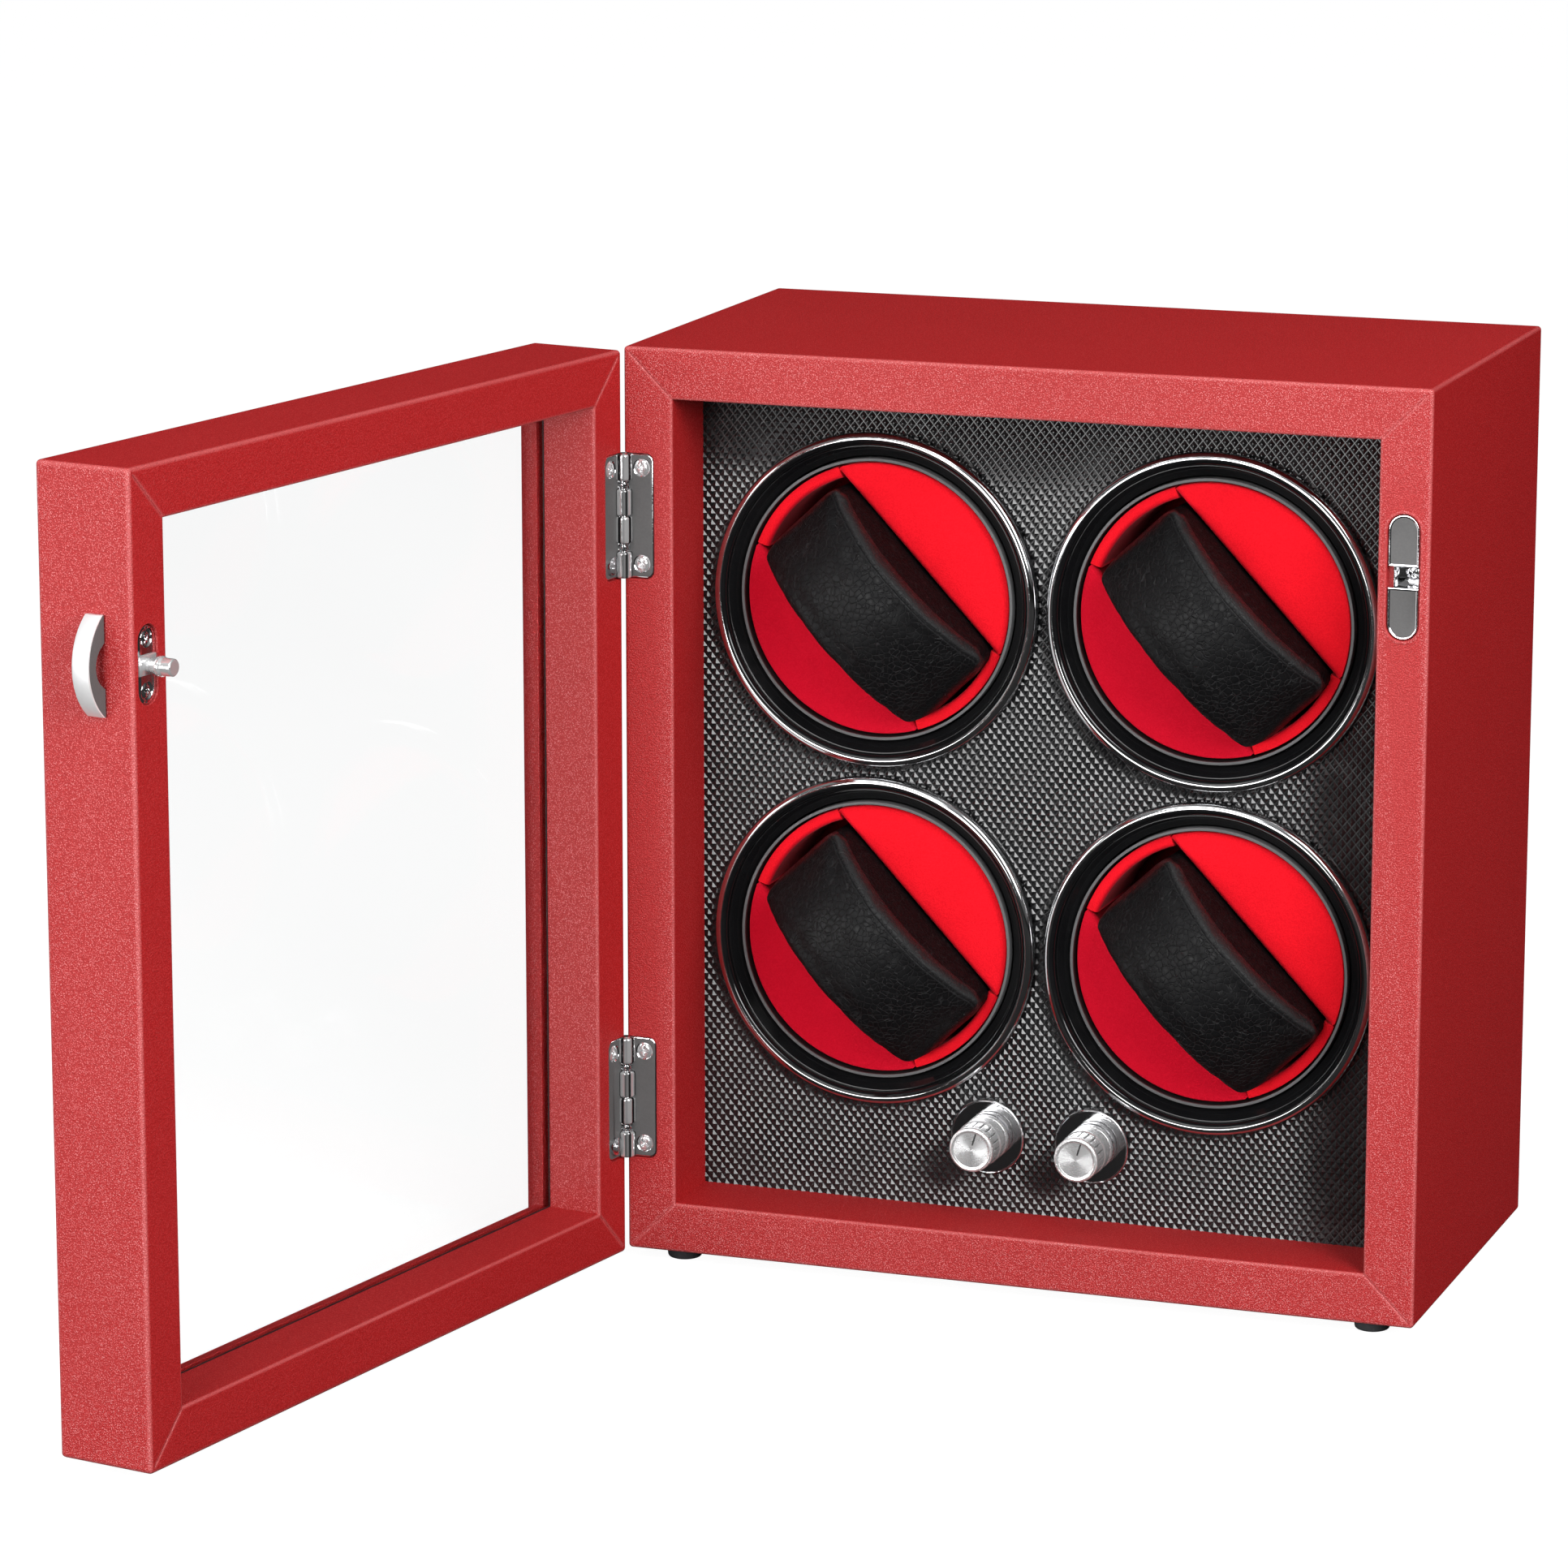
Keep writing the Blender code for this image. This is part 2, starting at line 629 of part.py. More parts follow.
def build_liner(key, table):
    """The velvet covered block in the cup, with the slot that holds the pillow."""
    radius = CUP_RADIUS - CUP_WALL - FIT
    front = LINER_FRONT - PANEL_FRONT
    back = CUP_FLOOR_FRONT - FIT - PANEL_FRONT
    profile = [(0.0, front), (radius, front), (radius, back), (0.0, back)]
    liner = add_object(f"velvet_liner_{key}", turned_bmesh(profile, WIDE_FACETS), "red_velvet", table)
    cutter = slab_bmesh(slot_outline(), front - SLOT_DEPTH, SLOT_FLOOR - PANEL_FRONT)
    combine(liner, add_cutter(f"slot_{key}", cutter, table), "DIFFERENCE")


def build_pillow(key, slide):
    """The watch pillow: a bowed front, straight ends and a flat back on the floor of the slot."""
    half = PILLOW_LENGTH / 2.0
    rise = PILLOW_CREST - PILLOW_END
    radius = (half * half + rise * rise) / (2.0 * rise)
    sweep = atan2(half, radius - rise) * 180.0 / pi
    middle = (PILLOW_SHIFT, radius - PILLOW_CREST)
    back = SLOT_FLOOR - FIT - PANEL_FRONT
    front = arc(middle, radius, -90.0 - sweep, -90.0 + sweep, 10)
    outline = front + [(PILLOW_SHIFT + half, back), (PILLOW_SHIFT - half, back)]
    width = PILLOW_WIDTH / 2.0
    bm = slab_bmesh(outline, -width, width, plane="XY")
    at_front = back - FIT

    def chosen(point):
        return point.y < at_front

    round_edges(bm, chosen, PILLOW_ROUND, segments=1)
    add_object(f"watch_pillow_{key}", bm, "black_leather", slide)


def build_bush(key, place, root):
    """The flanged bush in the chassis that a spindle turns in."""
    bore = SPINDLE_RADIUS + FIT
    outer = bore + BUSH_WALL
    flange = outer + FIT + BUSH_FLANGE_WIDTH
    profile = [
        (bore, FLANGE_FRONT),
        (flange, FLANGE_FRONT),
        (flange, FLANGE_FRONT + BUSH_FLANGE),
        (outer, FLANGE_FRONT + BUSH_FLANGE),
        (outer, CHASSIS_BACK),
        (bore, CHASSIS_BACK),
    ]
    bm = turned_bmesh(profile, FINE_FACETS, place, closed=True)
    add_object(f"spindle_bush_{key}", bm, "nylon", root)


def pulley_profile(shaft_radius, shaft_front, radius):
    """Half outline of a grooved pulley with its shaft in front of it, measured from the panel."""
    near = PULLEY_FRONT - PANEL_FRONT
    far = PULLEY_BACK - PANEL_FRONT
    middle = BELT_PLANE - PANEL_FRONT
    half_floor = BELT_RADIUS + FIT
    half_mouth = (half_floor + PULLEY_WIDTH / 2.0) / 2.0
    floor = radius - GROOVE_DEPTH
    return [
        (0.0, shaft_front),
        (shaft_radius, shaft_front),
        (shaft_radius, near),
        (radius, near),
        (radius, middle - half_mouth),
        (floor, middle - half_floor),
        (floor, middle + half_floor),
        (radius, middle + half_mouth),
        (radius, far),
        (0.0, far),
    ]


def build_drive_pulley(key, table):
    """The large pulley and its spindle, which carries the cup."""
    front = CUP_BACK - CUP_FLOOR / 2.0 + FIT - PANEL_FRONT
    profile = pulley_profile(SPINDLE_RADIUS, front, PULLEY_RADIUS)
    add_object(f"drive_pulley_{key}", turned_bmesh(profile, MID_FACETS), "nylon", table)


def build_motor(side, x, root, shaft):
    """A gear motor on the chassis, and the small pulley on its shaft."""
    back = CHASSIS_FRONT - FIT
    front = back - MOTOR_LENGTH
    bore = MOTOR_SHAFT_RADIUS + FIT
    seat = back - MOTOR_SHAFT_SEAT
    profile = [
        (0.0, front),
        (MOTOR_RADIUS, front),
        (MOTOR_RADIUS, back),
        (bore, back),
        (bore, seat),
        (0.0, seat),
    ]
    add_object(f"drive_motor_{side}", turned_bmesh(profile, FINE_FACETS, (x, MOTOR_Z)), "steel", root)
    pulley = pulley_profile(MOTOR_SHAFT_RADIUS, seat + FIT - PANEL_FRONT, MOTOR_PULLEY_RADIUS)
    add_object(f"motor_pulley_{side}", turned_bmesh(pulley, FINE_FACETS), "steel", shaft)


def belt_points(circles):
    """Points round the outside of circles given as (x, z, radius) in counterclockwise order."""
    count = len(circles)
    normals = []
    for index, (x, z, radius) in enumerate(circles):
        next_x, next_z, next_radius = circles[(index + 1) % count]
        length = sqrt((next_x - x) ** 2 + (next_z - z) ** 2)
        normals.append(atan2(next_z - z, next_x - x) - acos((radius - next_radius) / length))
    points = []
    for index, (x, z, radius) in enumerate(circles):
        start = normals[index - 1]
        sweep = (normals[index] - start) % (2.0 * pi)
        steps = max(2, ceil(sweep / radians(20.0)))
        for step in range(steps + 1):
            angle = start + sweep * step / steps
            points.append((x + radius * cos(angle), z + radius * sin(angle)))
    return points


def build_belt(side, root):
    """A round belt over two drive pulleys and one motor pulley."""
    wrap = BELT_RADIUS + FIT - GROOVE_DEPTH
    upper = (*TABLES[f"upper_{side}"], PULLEY_RADIUS + wrap)
    lower = (*TABLES[f"lower_{side}"], PULLEY_RADIUS + wrap)
    motor = (MOTORS[side], MOTOR_Z, MOTOR_PULLEY_RADIUS + wrap)
    circles = [upper, lower, motor] if side == "left" else [upper, motor, lower]
    points = belt_points(circles)
    curve = bpy.data.curves.new(f"drive_belt_{side}", "CURVE")
    curve.dimensions = "3D"
    curve.bevel_depth = BELT_RADIUS * MM
    curve.bevel_resolution = 1
    spline = curve.splines.new("POLY")
    spline.points.add(len(points) - 1)
    for point, (x, z) in zip(spline.points, points):
        point.co = (x * MM, BELT_PLANE * MM, z * MM, 1.0)
    spline.use_cyclic_u = True
    curve.materials.append(finish_material("rubber"))
    belt = bpy.data.objects.new(f"drive_belt_{side}", curve)
    bpy.context.scene.collection.objects.link(belt)
    belt.parent = root


def build_controls(side, x, root, turn):
    """A knob, the dial plate behind it and the speed control that its shaft turns."""
    dial_back = -FIT
    dial_front = dial_back - DIAL_THICKNESS
    neck = CONTROL_NECK_RADIUS
    hole = neck + FIT
    place = (x, KNOB_Z)
    dial = [
        (hole, PANEL_FRONT + dial_front),
        (DIAL_RADIUS, PANEL_FRONT + dial_front),
        (DIAL_RADIUS, PANEL_FRONT + dial_back),
        (hole, PANEL_FRONT + dial_back),
    ]
    bm = turned_bmesh(dial, MID_FACETS, place, closed=True)
    add_object(f"dial_plate_{side}", bm, "dial_black", root)
    base = dial_front - FIT
    face = base - KNOB_LENGTH
    skirt = base - KNOB_SKIRT
    narrow = KNOB_RADIUS - KNOB_GROOVE
    shaft_end = PANEL_THICKNESS + CONTROL_BODY_DEPTH / 2.0
    knob = [
        (0.0, face),
        (KNOB_RADIUS - KNOB_CHAMFER, face),
        (KNOB_RADIUS, face + KNOB_CHAMFER),
        (KNOB_RADIUS, skirt - 2.0 * KNOB_GROOVE),
        (narrow, skirt - KNOB_GROOVE),
        (narrow, skirt),
        (KNOB_RADIUS, skirt),
        (KNOB_RADIUS, base),
        (KNOB_SHAFT_RADIUS, base),
        (KNOB_SHAFT_RADIUS, shaft_end),
        (0.0, shaft_end),
    ]
    add_object(f"control_knob_{side}", turned_bmesh(knob, MID_FACETS), "spun_aluminium", turn)
    bore = KNOB_SHAFT_RADIUS + FIT
    body = PANEL_BACK + FIT
    control = [
        (0.0, PANEL_FRONT + shaft_end + FIT),
        (bore, PANEL_FRONT + shaft_end + FIT),
        (bore, PANEL_FRONT + dial_front),
        (neck, PANEL_FRONT + dial_front),
        (neck, body),
        (CONTROL_BODY_RADIUS, body),
        (CONTROL_BODY_RADIUS, body + CONTROL_BODY_DEPTH),
        (0.0, body + CONTROL_BODY_DEPTH),
    ]
    add_object(f"speed_control_{side}", turned_bmesh(control, FINE_FACETS, place), "steel", root)


def build_circuit_board(root):
    """The board that carries the two speed controls."""
    front = PANEL_BACK + FIT + CONTROL_BODY_DEPTH + FIT
    half = CIRCUIT_BOARD_HEIGHT / 2.0
    low = (KNOBS["left"] - CIRCUIT_BOARD_MARGIN, front, KNOB_Z - half)
    high = (KNOBS["right"] + CIRCUIT_BOARD_MARGIN, front + CIRCUIT_BOARD_THICKNESS, KNOB_Z + half)
    add_object("circuit_board", box_bmesh(low, high), "circuit_board", root)


def build_foot(name, x, y, root):
    """A rubber foot with a rounded lower edge."""
    top = -FIT
    bottom = top - FOOT_HEIGHT
    profile = [
        (0.0, top),
        (FOOT_RADIUS, top),
        (FOOT_RADIUS, bottom + FOOT_ROUND),
        (FOOT_RADIUS - FOOT_ROUND * ARC_REST, bottom + FOOT_ROUND * ARC_REST),
        (FOOT_RADIUS - FOOT_ROUND, bottom),
        (0.0, bottom),
    ]
    add_object(name, upright_bmesh(profile, FINE_FACETS, (x, y)), "rubber", root)


def leaf_outline(grow=0.0):
    """A hinge leaf seen from the front: straight at the knuckle, round at its two outer corners."""
    half = HINGE_HEIGHT / 2.0
    outer = LEAF_WIDTH - LEAF_CORNER
    inner = KNUCKLE_RADIUS / 2.0
    corner = LEAF_CORNER + grow
    top = arc((outer, half - LEAF_CORNER), corner, 0.0, 90.0, 4)
    bottom = arc((outer, LEAF_CORNER - half), corner, -90.0, 0.0, 4)
    return [(inner, -half - grow)] + bottom + top + [(inner, half + grow)]


def knuckle_bands():
    """Height bands of the knuckles about the hinge's middle, from the bottom up."""
    half = HINGE_HEIGHT / 2.0
    touch = FIT / 2.0
    return {
        "cabinet": [(-half, -half + KNUCKLE_LENGTH), (touch, touch + KNUCKLE_LENGTH)],
        "door": [(-touch - KNUCKLE_LENGTH, -touch), (half - KNUCKLE_LENGTH, half)],
    }


def round_bar(radius, low, high):
    """An upright bar about the hinge axis."""
    profile = [(0.0, high), (radius, high), (radius, low), (0.0, low)]
    return upright_bmesh(profile, FINE_FACETS)


def build_hinge_leaf(owner, level, parent):
    """One leaf: a plate, its two knuckles, the bore for the pin and room for the other knuckles."""
    sign = 1.0 if owner == "cabinet" else -1.0
    near = sign * DOOR_GAP / 2.0
    far = near + sign * LEAF_THICKNESS
    name = f"hinge_leaf_{owner}_{level}"
    half = HINGE_HEIGHT / 2.0
    leaf = add_object(name, slab_bmesh(leaf_outline(), near, far), "chrome", parent)
    room = round_bar(KNUCKLE_RADIUS + FIT, -half - FIT, half + FIT)
    combine(leaf, add_cutter(f"{name}_room", room, parent), "DIFFERENCE")
    for number, (low, high) in enumerate(knuckle_bands()[owner]):
        knuckle = round_bar(KNUCKLE_RADIUS, low, high)
        combine(leaf, add_cutter(f"{name}_knuckle_{number}", knuckle, parent), "UNION")
        root_low = (KNUCKLE_RADIUS / 2.0, min(near, far), low)
        root_high = (KNUCKLE_RADIUS + 2.0 * FIT, max(near, far), high)
        web = box_bmesh(root_low, root_high)
        combine(leaf, add_cutter(f"{name}_web_{number}", web, parent), "UNION")
    bore = round_bar(PIN_RADIUS + FIT, -half - FIT, half + FIT)
    combine(leaf, add_cutter(f"{name}_bore", bore, parent), "DIFFERENCE")


def hinge_mortise(owner, level, parent, item):
    """Cuts the seat of a leaf and the room for the knuckles into a cabinet or door edge."""
    sign = 1.0 if owner == "cabinet" else -1.0
    near = sign * (DOOR_GAP / 2.0 - FIT)
    far = sign * (DOOR_GAP / 2.0 + LEAF_THICKNESS + FIT)
    half = HINGE_HEIGHT / 2.0 + FIT
    seat = slab_bmesh(leaf_outline(FIT), near, far)
    combine(item, add_cutter(f"{owner}_seat_{level}", seat, parent), "DIFFERENCE")
    room = round_bar(KNUCKLE_RADIUS + FIT, -half, half)
    combine(item, add_cutter(f"{owner}_room_{level}", room, parent), "DIFFERENCE")


def build_hinges(root, door, shell, frame):
    """Two butt hinges: cabinet leaf, door leaf and pin."""
    half = HINGE_HEIGHT / 2.0
    for level, height in HINGE_HEIGHTS.items():
        fixed = add_empty(f"hinge_{level}_fixed", (0.0, HINGE_AXIS_Y, height), root)
        moving = add_empty(f"hinge_{level}_moving", (0.0, 0.0, height), door)
        build_hinge_leaf("cabinet", level, fixed)
        build_hinge_leaf("door", level, moving)
        add_object(f"hinge_pin_{level}", round_bar(PIN_RADIUS, -half, half), "chrome", fixed)
        hinge_mortise("cabinet", level, fixed, shell)
        hinge_mortise("door", level, moving, frame)


def build_keep(root, shell):
    """The keep on the cabinet: two pads joined by a channel that takes the latch stud."""
    left = KEEP_CENTRE_X - KEEP_WIDTH / 2.0
    right = KEEP_CENTRE_X + KEEP_WIDTH / 2.0
    channel_left = left + KEEP_NOTCH
    gap = KEEP_GAP / 2.0
    wall = gap + KEEP_WALL
    end = KEEP_LENGTH / 2.0
    floor = KEEP_POCKET + KEEP_WALL
    pads = stadium((KEEP_CENTRE_X, LATCH_HEIGHT), KEEP_WIDTH, KEEP_LENGTH)
    keep = add_object("catch_keep", slab_bmesh(pads, 0.0, KEEP_THICKNESS), "chrome", root)
    opening_low = (left - FIT, -FIT, LATCH_HEIGHT - gap)
    opening_high = (right + FIT, KEEP_THICKNESS + FIT, LATCH_HEIGHT + gap)
    combine(keep, add_cutter("keep_opening", box_bmesh(opening_low, opening_high), root), "DIFFERENCE")
    section = [
        (KEEP_THICKNESS / 2.0, LATCH_HEIGHT - wall),
        (floor, LATCH_HEIGHT - wall),
        (floor, LATCH_HEIGHT + wall),
        (KEEP_THICKNESS / 2.0, LATCH_HEIGHT + wall),
        (KEEP_THICKNESS / 2.0, LATCH_HEIGHT + gap),
        (KEEP_POCKET, LATCH_HEIGHT + gap),
        (KEEP_POCKET, LATCH_HEIGHT - gap),
        (KEEP_THICKNESS / 2.0, LATCH_HEIGHT - gap),
    ]
    channel = slab_bmesh(section, channel_left, right, plane="YZ")
    combine(keep, add_cutter("keep_channel", channel, root), "UNION")
    hole = add_screw("catch_screw", STUD_X, KEEP_POCKET, LATCH_HEIGHT, 1.0, root)
    combine(keep, hole, "DIFFERENCE")
    seat = stadium((KEEP_CENTRE_X, LATCH_HEIGHT), KEEP_WIDTH, KEEP_LENGTH, FIT)
    pads_room = slab_bmesh(seat, -FIT, KEEP_THICKNESS + FIT)
    web_low = (left - 2.0 * FIT, -2.0 * FIT, LATCH_HEIGHT - gap)
    web_high = (channel_left - FIT, KEEP_THICKNESS + 2.0 * FIT, LATCH_HEIGHT + gap)
    pads_seat = add_cutter("keep_pads_seat", pads_room, root)
    combine(pads_seat, add_cutter("keep_notch", box_bmesh(web_low, web_high), root), "DIFFERENCE")
    combine(shell, pads_seat, "DIFFERENCE")
    pocket_low = (channel_left - FIT, -FIT, LATCH_HEIGHT - wall - FIT)
    pocket_high = (right + FIT, floor + FIT, LATCH_HEIGHT + wall + FIT)
    combine(shell, add_cutter("keep_pocket", box_bmesh(pocket_low, pocket_high), root), "DIFFERENCE")
    combine(shell, hole, "DIFFERENCE")


def door_profile():
    """Section of the door frame: (inset, y) from the hinge axis, with a glass groove and a round lip."""
    inner = -DOOR_GAP / 2.0
    outer = inner - DOOR_THICKNESS
    groove_near = inner - GLASS_SETBACK
    groove_far = groove_near - GLASS_THICKNESS - FIT
    floor = BOARD - GLASS_GROOVE
    lip = min(WINDOW_ROUND, groove_far - outer - FIT, BOARD - EDGE_ROUND - FIT)
    curve = arc((BOARD - lip, outer + lip), lip, 0.0, -90.0, 5)
    return [
        (0.0, inner),
        (BOARD, inner),
        (BOARD, groove_near),
        (floor, groove_near),
        (floor, groove_far),
        (BOARD, groove_far),
        *curve,
        (0.0, outer),
    ]


def build_door(door):
    """The door frame and its glass, in the closed position about the hinge axis."""
    bm = mitred_frame_bmesh(CABINET_WIDTH, CABINET_HEIGHT, door_profile(), -DOOR_DROP)
    inner = -DOOR_GAP / 2.0
    outer = inner - DOOR_THICKNESS
    test = on_outer_edge(CABINET_WIDTH, CABINET_HEIGHT, inner, outer, -DOOR_DROP)
    round_edges(bm, test, EDGE_ROUND)
    frame = add_object("door_frame", bm, "red_leather", door)
    inset = BOARD - GLASS_GROOVE + FIT
    glass_front = inner - GLASS_SETBACK - FIT / 2.0
    low = (inset, glass_front - GLASS_THICKNESS, inset - DOOR_DROP)
    high = (CABINET_WIDTH - inset, glass_front, CABINET_HEIGHT - inset - DOOR_DROP)
    add_object("door_glass", box_bmesh(low, high), "clear_glass", door)
    return frame


def build_latch(door, frame):
    """The latch: a plate let into the door with a stud that enters the keep."""
    face = -DOOR_GAP / 2.0
    place = (STUD_X, LATCH_HEIGHT)
    back = face - LATCH_THICKNESS
    outline = stadium(place, LATCH_WIDTH, LATCH_LENGTH)
    latch = add_object("latch_stud", slab_bmesh(outline, back, face), "chrome", door)
    bulge = STUD_RADIUS + STUD_BULGE
    flare_start = face + STUD_STEM
    band_start = flare_start + STUD_FLARE
    band_end = band_start + STUD_BAND
    neck_end = band_end + STUD_NECK
    tip = face + STUD_LENGTH
    profile = [
        (0.0, face - LATCH_THICKNESS / 2.0),
        (STUD_STEM_RADIUS, face - LATCH_THICKNESS / 2.0),
        (STUD_STEM_RADIUS, flare_start),
        (bulge, band_start),
        (bulge, band_end),
        (STUD_STEM_RADIUS, neck_end),
        (STUD_RADIUS, neck_end),
        (STUD_RADIUS, tip - STUD_BULGE),
        (STUD_RADIUS - STUD_BULGE, tip),
        (0.0, tip),
    ]
    stud = turned_bmesh(profile, FINE_FACETS, place)
    combine(latch, add_cutter("stud_shape", stud, door), "UNION")
    seat = slab_bmesh(stadium(place, LATCH_WIDTH, LATCH_LENGTH, FIT), back - FIT, face + FIT)
    combine(frame, add_cutter("latch_seat", seat, door), "DIFFERENCE")
    for level, sign in (("upper", 1.0), ("lower", -1.0)):
        height = LATCH_HEIGHT + sign * LATCH_SCREW_SPACING / 2.0
        hole = add_screw(f"latch_screw_{level}", STUD_X, face, height, -1.0, door)
        combine(latch, hole, "DIFFERENCE")
        combine(frame, hole, "DIFFERENCE")


def bow(half_chord, rise, base, steps):
    """A shallow arc over a chord along Z that bulges towards +X, from bottom to top."""
    radius = (half_chord * half_chord + rise * rise) / (2.0 * rise)
    sweep = atan2(half_chord, radius - rise) * 180.0 / pi
    return arc((base + rise - radius, 0.0), radius, -sweep, sweep, steps)


def build_handle(door):
    """The bow pull on the free edge of the door, with an arched finger gap."""
    start = CABINET_WIDTH + FIT
    half = HANDLE_LENGTH / 2.0
    outer = bow(half, HANDLE_REACH - HANDLE_END, start + HANDLE_END, 10)
    finger = bow(HANDLE_FINGER_LENGTH / 2.0, HANDLE_FINGER_DEPTH, start, 6)
    outline = [(start, -half)] + outer + [(start, half)] + finger[::-1]
    outline = [(x, z + LATCH_HEIGHT) for x, z in outline]
    middle = -DOOR_GAP / 2.0 - HANDLE_FROM_FACE
    bm = slab_bmesh(outline, middle - HANDLE_WIDTH / 2.0, middle + HANDLE_WIDTH / 2.0)
    add_object("door_handle", bm, "chrome", door)


def settle(root):
    """Centres the whole part over its footprint, with the feet standing at zero."""
    bpy.context.view_layer.update()
    graph = bpy.context.evaluated_depsgraph_get()
    low = Vector((1e9, 1e9, 1e9))
    high = -low
    for item in bpy.data.objects:
        if item.type == "EMPTY" or item.hide_render:
            continue
        shown = item.evaluated_get(graph)
        mesh = shown.to_mesh()
        for vert in mesh.vertices:
            point = shown.matrix_world @ vert.co
            low = Vector(map(min, low, point))
            high = Vector(map(max, high, point))
        shown.to_mesh_clear()
    root.location = (-(low.x + high.x) / 2.0, -(low.y + high.y) / 2.0, -low.z)
    bpy.context.view_layer.update()


def main():
    """Builds the whole part."""
    clear_scene()
    root = add_empty("watch_winder", (0.0, 0.0, 0.0))
    shell = build_cabinet(root)
    build_back(root)
    build_front_panel(root)
    build_chassis(root)
    for key, (x, z) in TABLES.items():
        table = add_empty(f"turntable_{key}", (x, PANEL_FRONT, z), root, (0.0, radians(SLOT_TURN), 0.0))
        slide = add_empty(f"pillow_slide_{key}", (0.0, 0.0, 0.0), table)
        build_bezel(key, (x, z), root)
        build_cup(key, table)
        build_liner(key, table)
        build_pillow(key, slide)
        build_bush(key, (x, z), root)
        build_drive_pulley(key, table)
    for side, x in MOTORS.items():
        shaft = add_empty(f"motor_shaft_{side}", (x, PANEL_FRONT, MOTOR_Z), root)
        build_motor(side, x, root, shaft)
        build_belt(side, root)
    for side, x in KNOBS.items():
        turn = add_empty(f"knob_axis_{side}", (x, PANEL_FRONT, KNOB_Z), root)
        build_controls(side, x, root, turn)
    build_circuit_board(root)
    for row, y in (("front", FOOT_FROM_FRONT), ("rear", CABINET_DEPTH - FOOT_FROM_FRONT)):
        for side, x in (("left", FOOT_FROM_SIDE), ("right", CABINET_WIDTH - FOOT_FROM_SIDE)):
            build_foot(f"foot_{row}_{side}", x, y, root)
    door = add_empty("door_axis", (0.0, HINGE_AXIS_Y, 0.0), root, (0.0, 0.0, -radians(DOOR_OPEN)))
    frame = build_door(door)
    build_hinges(root, door, shell, frame)
    build_keep(root, shell)
    build_latch(door, frame)
    build_handle(door)
    settle(root)


main()
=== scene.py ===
"""Looks of the watch winder box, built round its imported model.

Sizes are in millimetres in each sub-assembly's own axes. A Seat puts them in the part's frame, in metres.
"""

import logging
from collections.abc import Callable, Sequence
from dataclasses import dataclass, replace
from enum import Enum
from typing import ClassVar

import bmesh
import bpy
import numpy as np
from mathutils import Matrix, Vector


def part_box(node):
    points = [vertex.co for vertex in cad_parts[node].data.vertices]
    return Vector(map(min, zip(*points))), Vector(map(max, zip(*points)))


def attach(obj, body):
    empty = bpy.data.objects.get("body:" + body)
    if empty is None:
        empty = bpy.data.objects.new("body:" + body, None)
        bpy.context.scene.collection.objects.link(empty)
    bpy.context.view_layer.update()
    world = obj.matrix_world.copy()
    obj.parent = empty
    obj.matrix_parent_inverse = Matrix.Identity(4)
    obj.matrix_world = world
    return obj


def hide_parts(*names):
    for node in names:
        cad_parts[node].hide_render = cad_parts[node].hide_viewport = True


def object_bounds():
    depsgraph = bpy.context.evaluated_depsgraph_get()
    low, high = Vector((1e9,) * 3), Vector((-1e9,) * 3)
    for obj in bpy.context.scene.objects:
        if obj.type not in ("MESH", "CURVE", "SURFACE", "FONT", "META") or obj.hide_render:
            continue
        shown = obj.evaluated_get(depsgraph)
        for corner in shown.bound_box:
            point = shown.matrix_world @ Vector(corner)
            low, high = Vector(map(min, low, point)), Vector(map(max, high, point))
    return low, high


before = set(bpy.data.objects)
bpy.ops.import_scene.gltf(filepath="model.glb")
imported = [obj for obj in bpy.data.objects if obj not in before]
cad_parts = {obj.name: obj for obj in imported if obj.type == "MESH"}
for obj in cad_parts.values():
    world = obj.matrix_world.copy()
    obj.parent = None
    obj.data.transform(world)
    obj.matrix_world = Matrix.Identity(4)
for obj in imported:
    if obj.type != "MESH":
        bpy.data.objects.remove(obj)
CAD_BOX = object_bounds()

LOG = logging.getLogger("winder")
MM = 0.001
Array = np.ndarray
Colour = tuple[float, float, float, float]
Step = tuple[float, float]


class Slot(Enum):
    """Material slots."""

    LEATHER = "red_leather"
    PANEL = "diamond_panel"
    BEZEL = "bezel"
    CUP = "cup"
    VELVET = "red_velvet"
    PILLOW = "black_leather"
    GLASS = "glass"
    CHROME = "chrome"
    SPUN = "spun_aluminium"
    RUBBER = "rubber"
    DIAL = "dial"


class Level(Enum):
    """The two rows of turntables and hinges."""

    UPPER = "upper"
    LOWER = "lower"


class Side(Enum):
    """The two columns of turntables and knobs."""

    LEFT = "left"
    RIGHT = "right"


class Effect(Enum):
    """Surface effects that several finishes share."""

    GRAIN = "pebbled_grain"
    HANDLING = "handling_marks"
    MOTTLE = "slow_mottle"


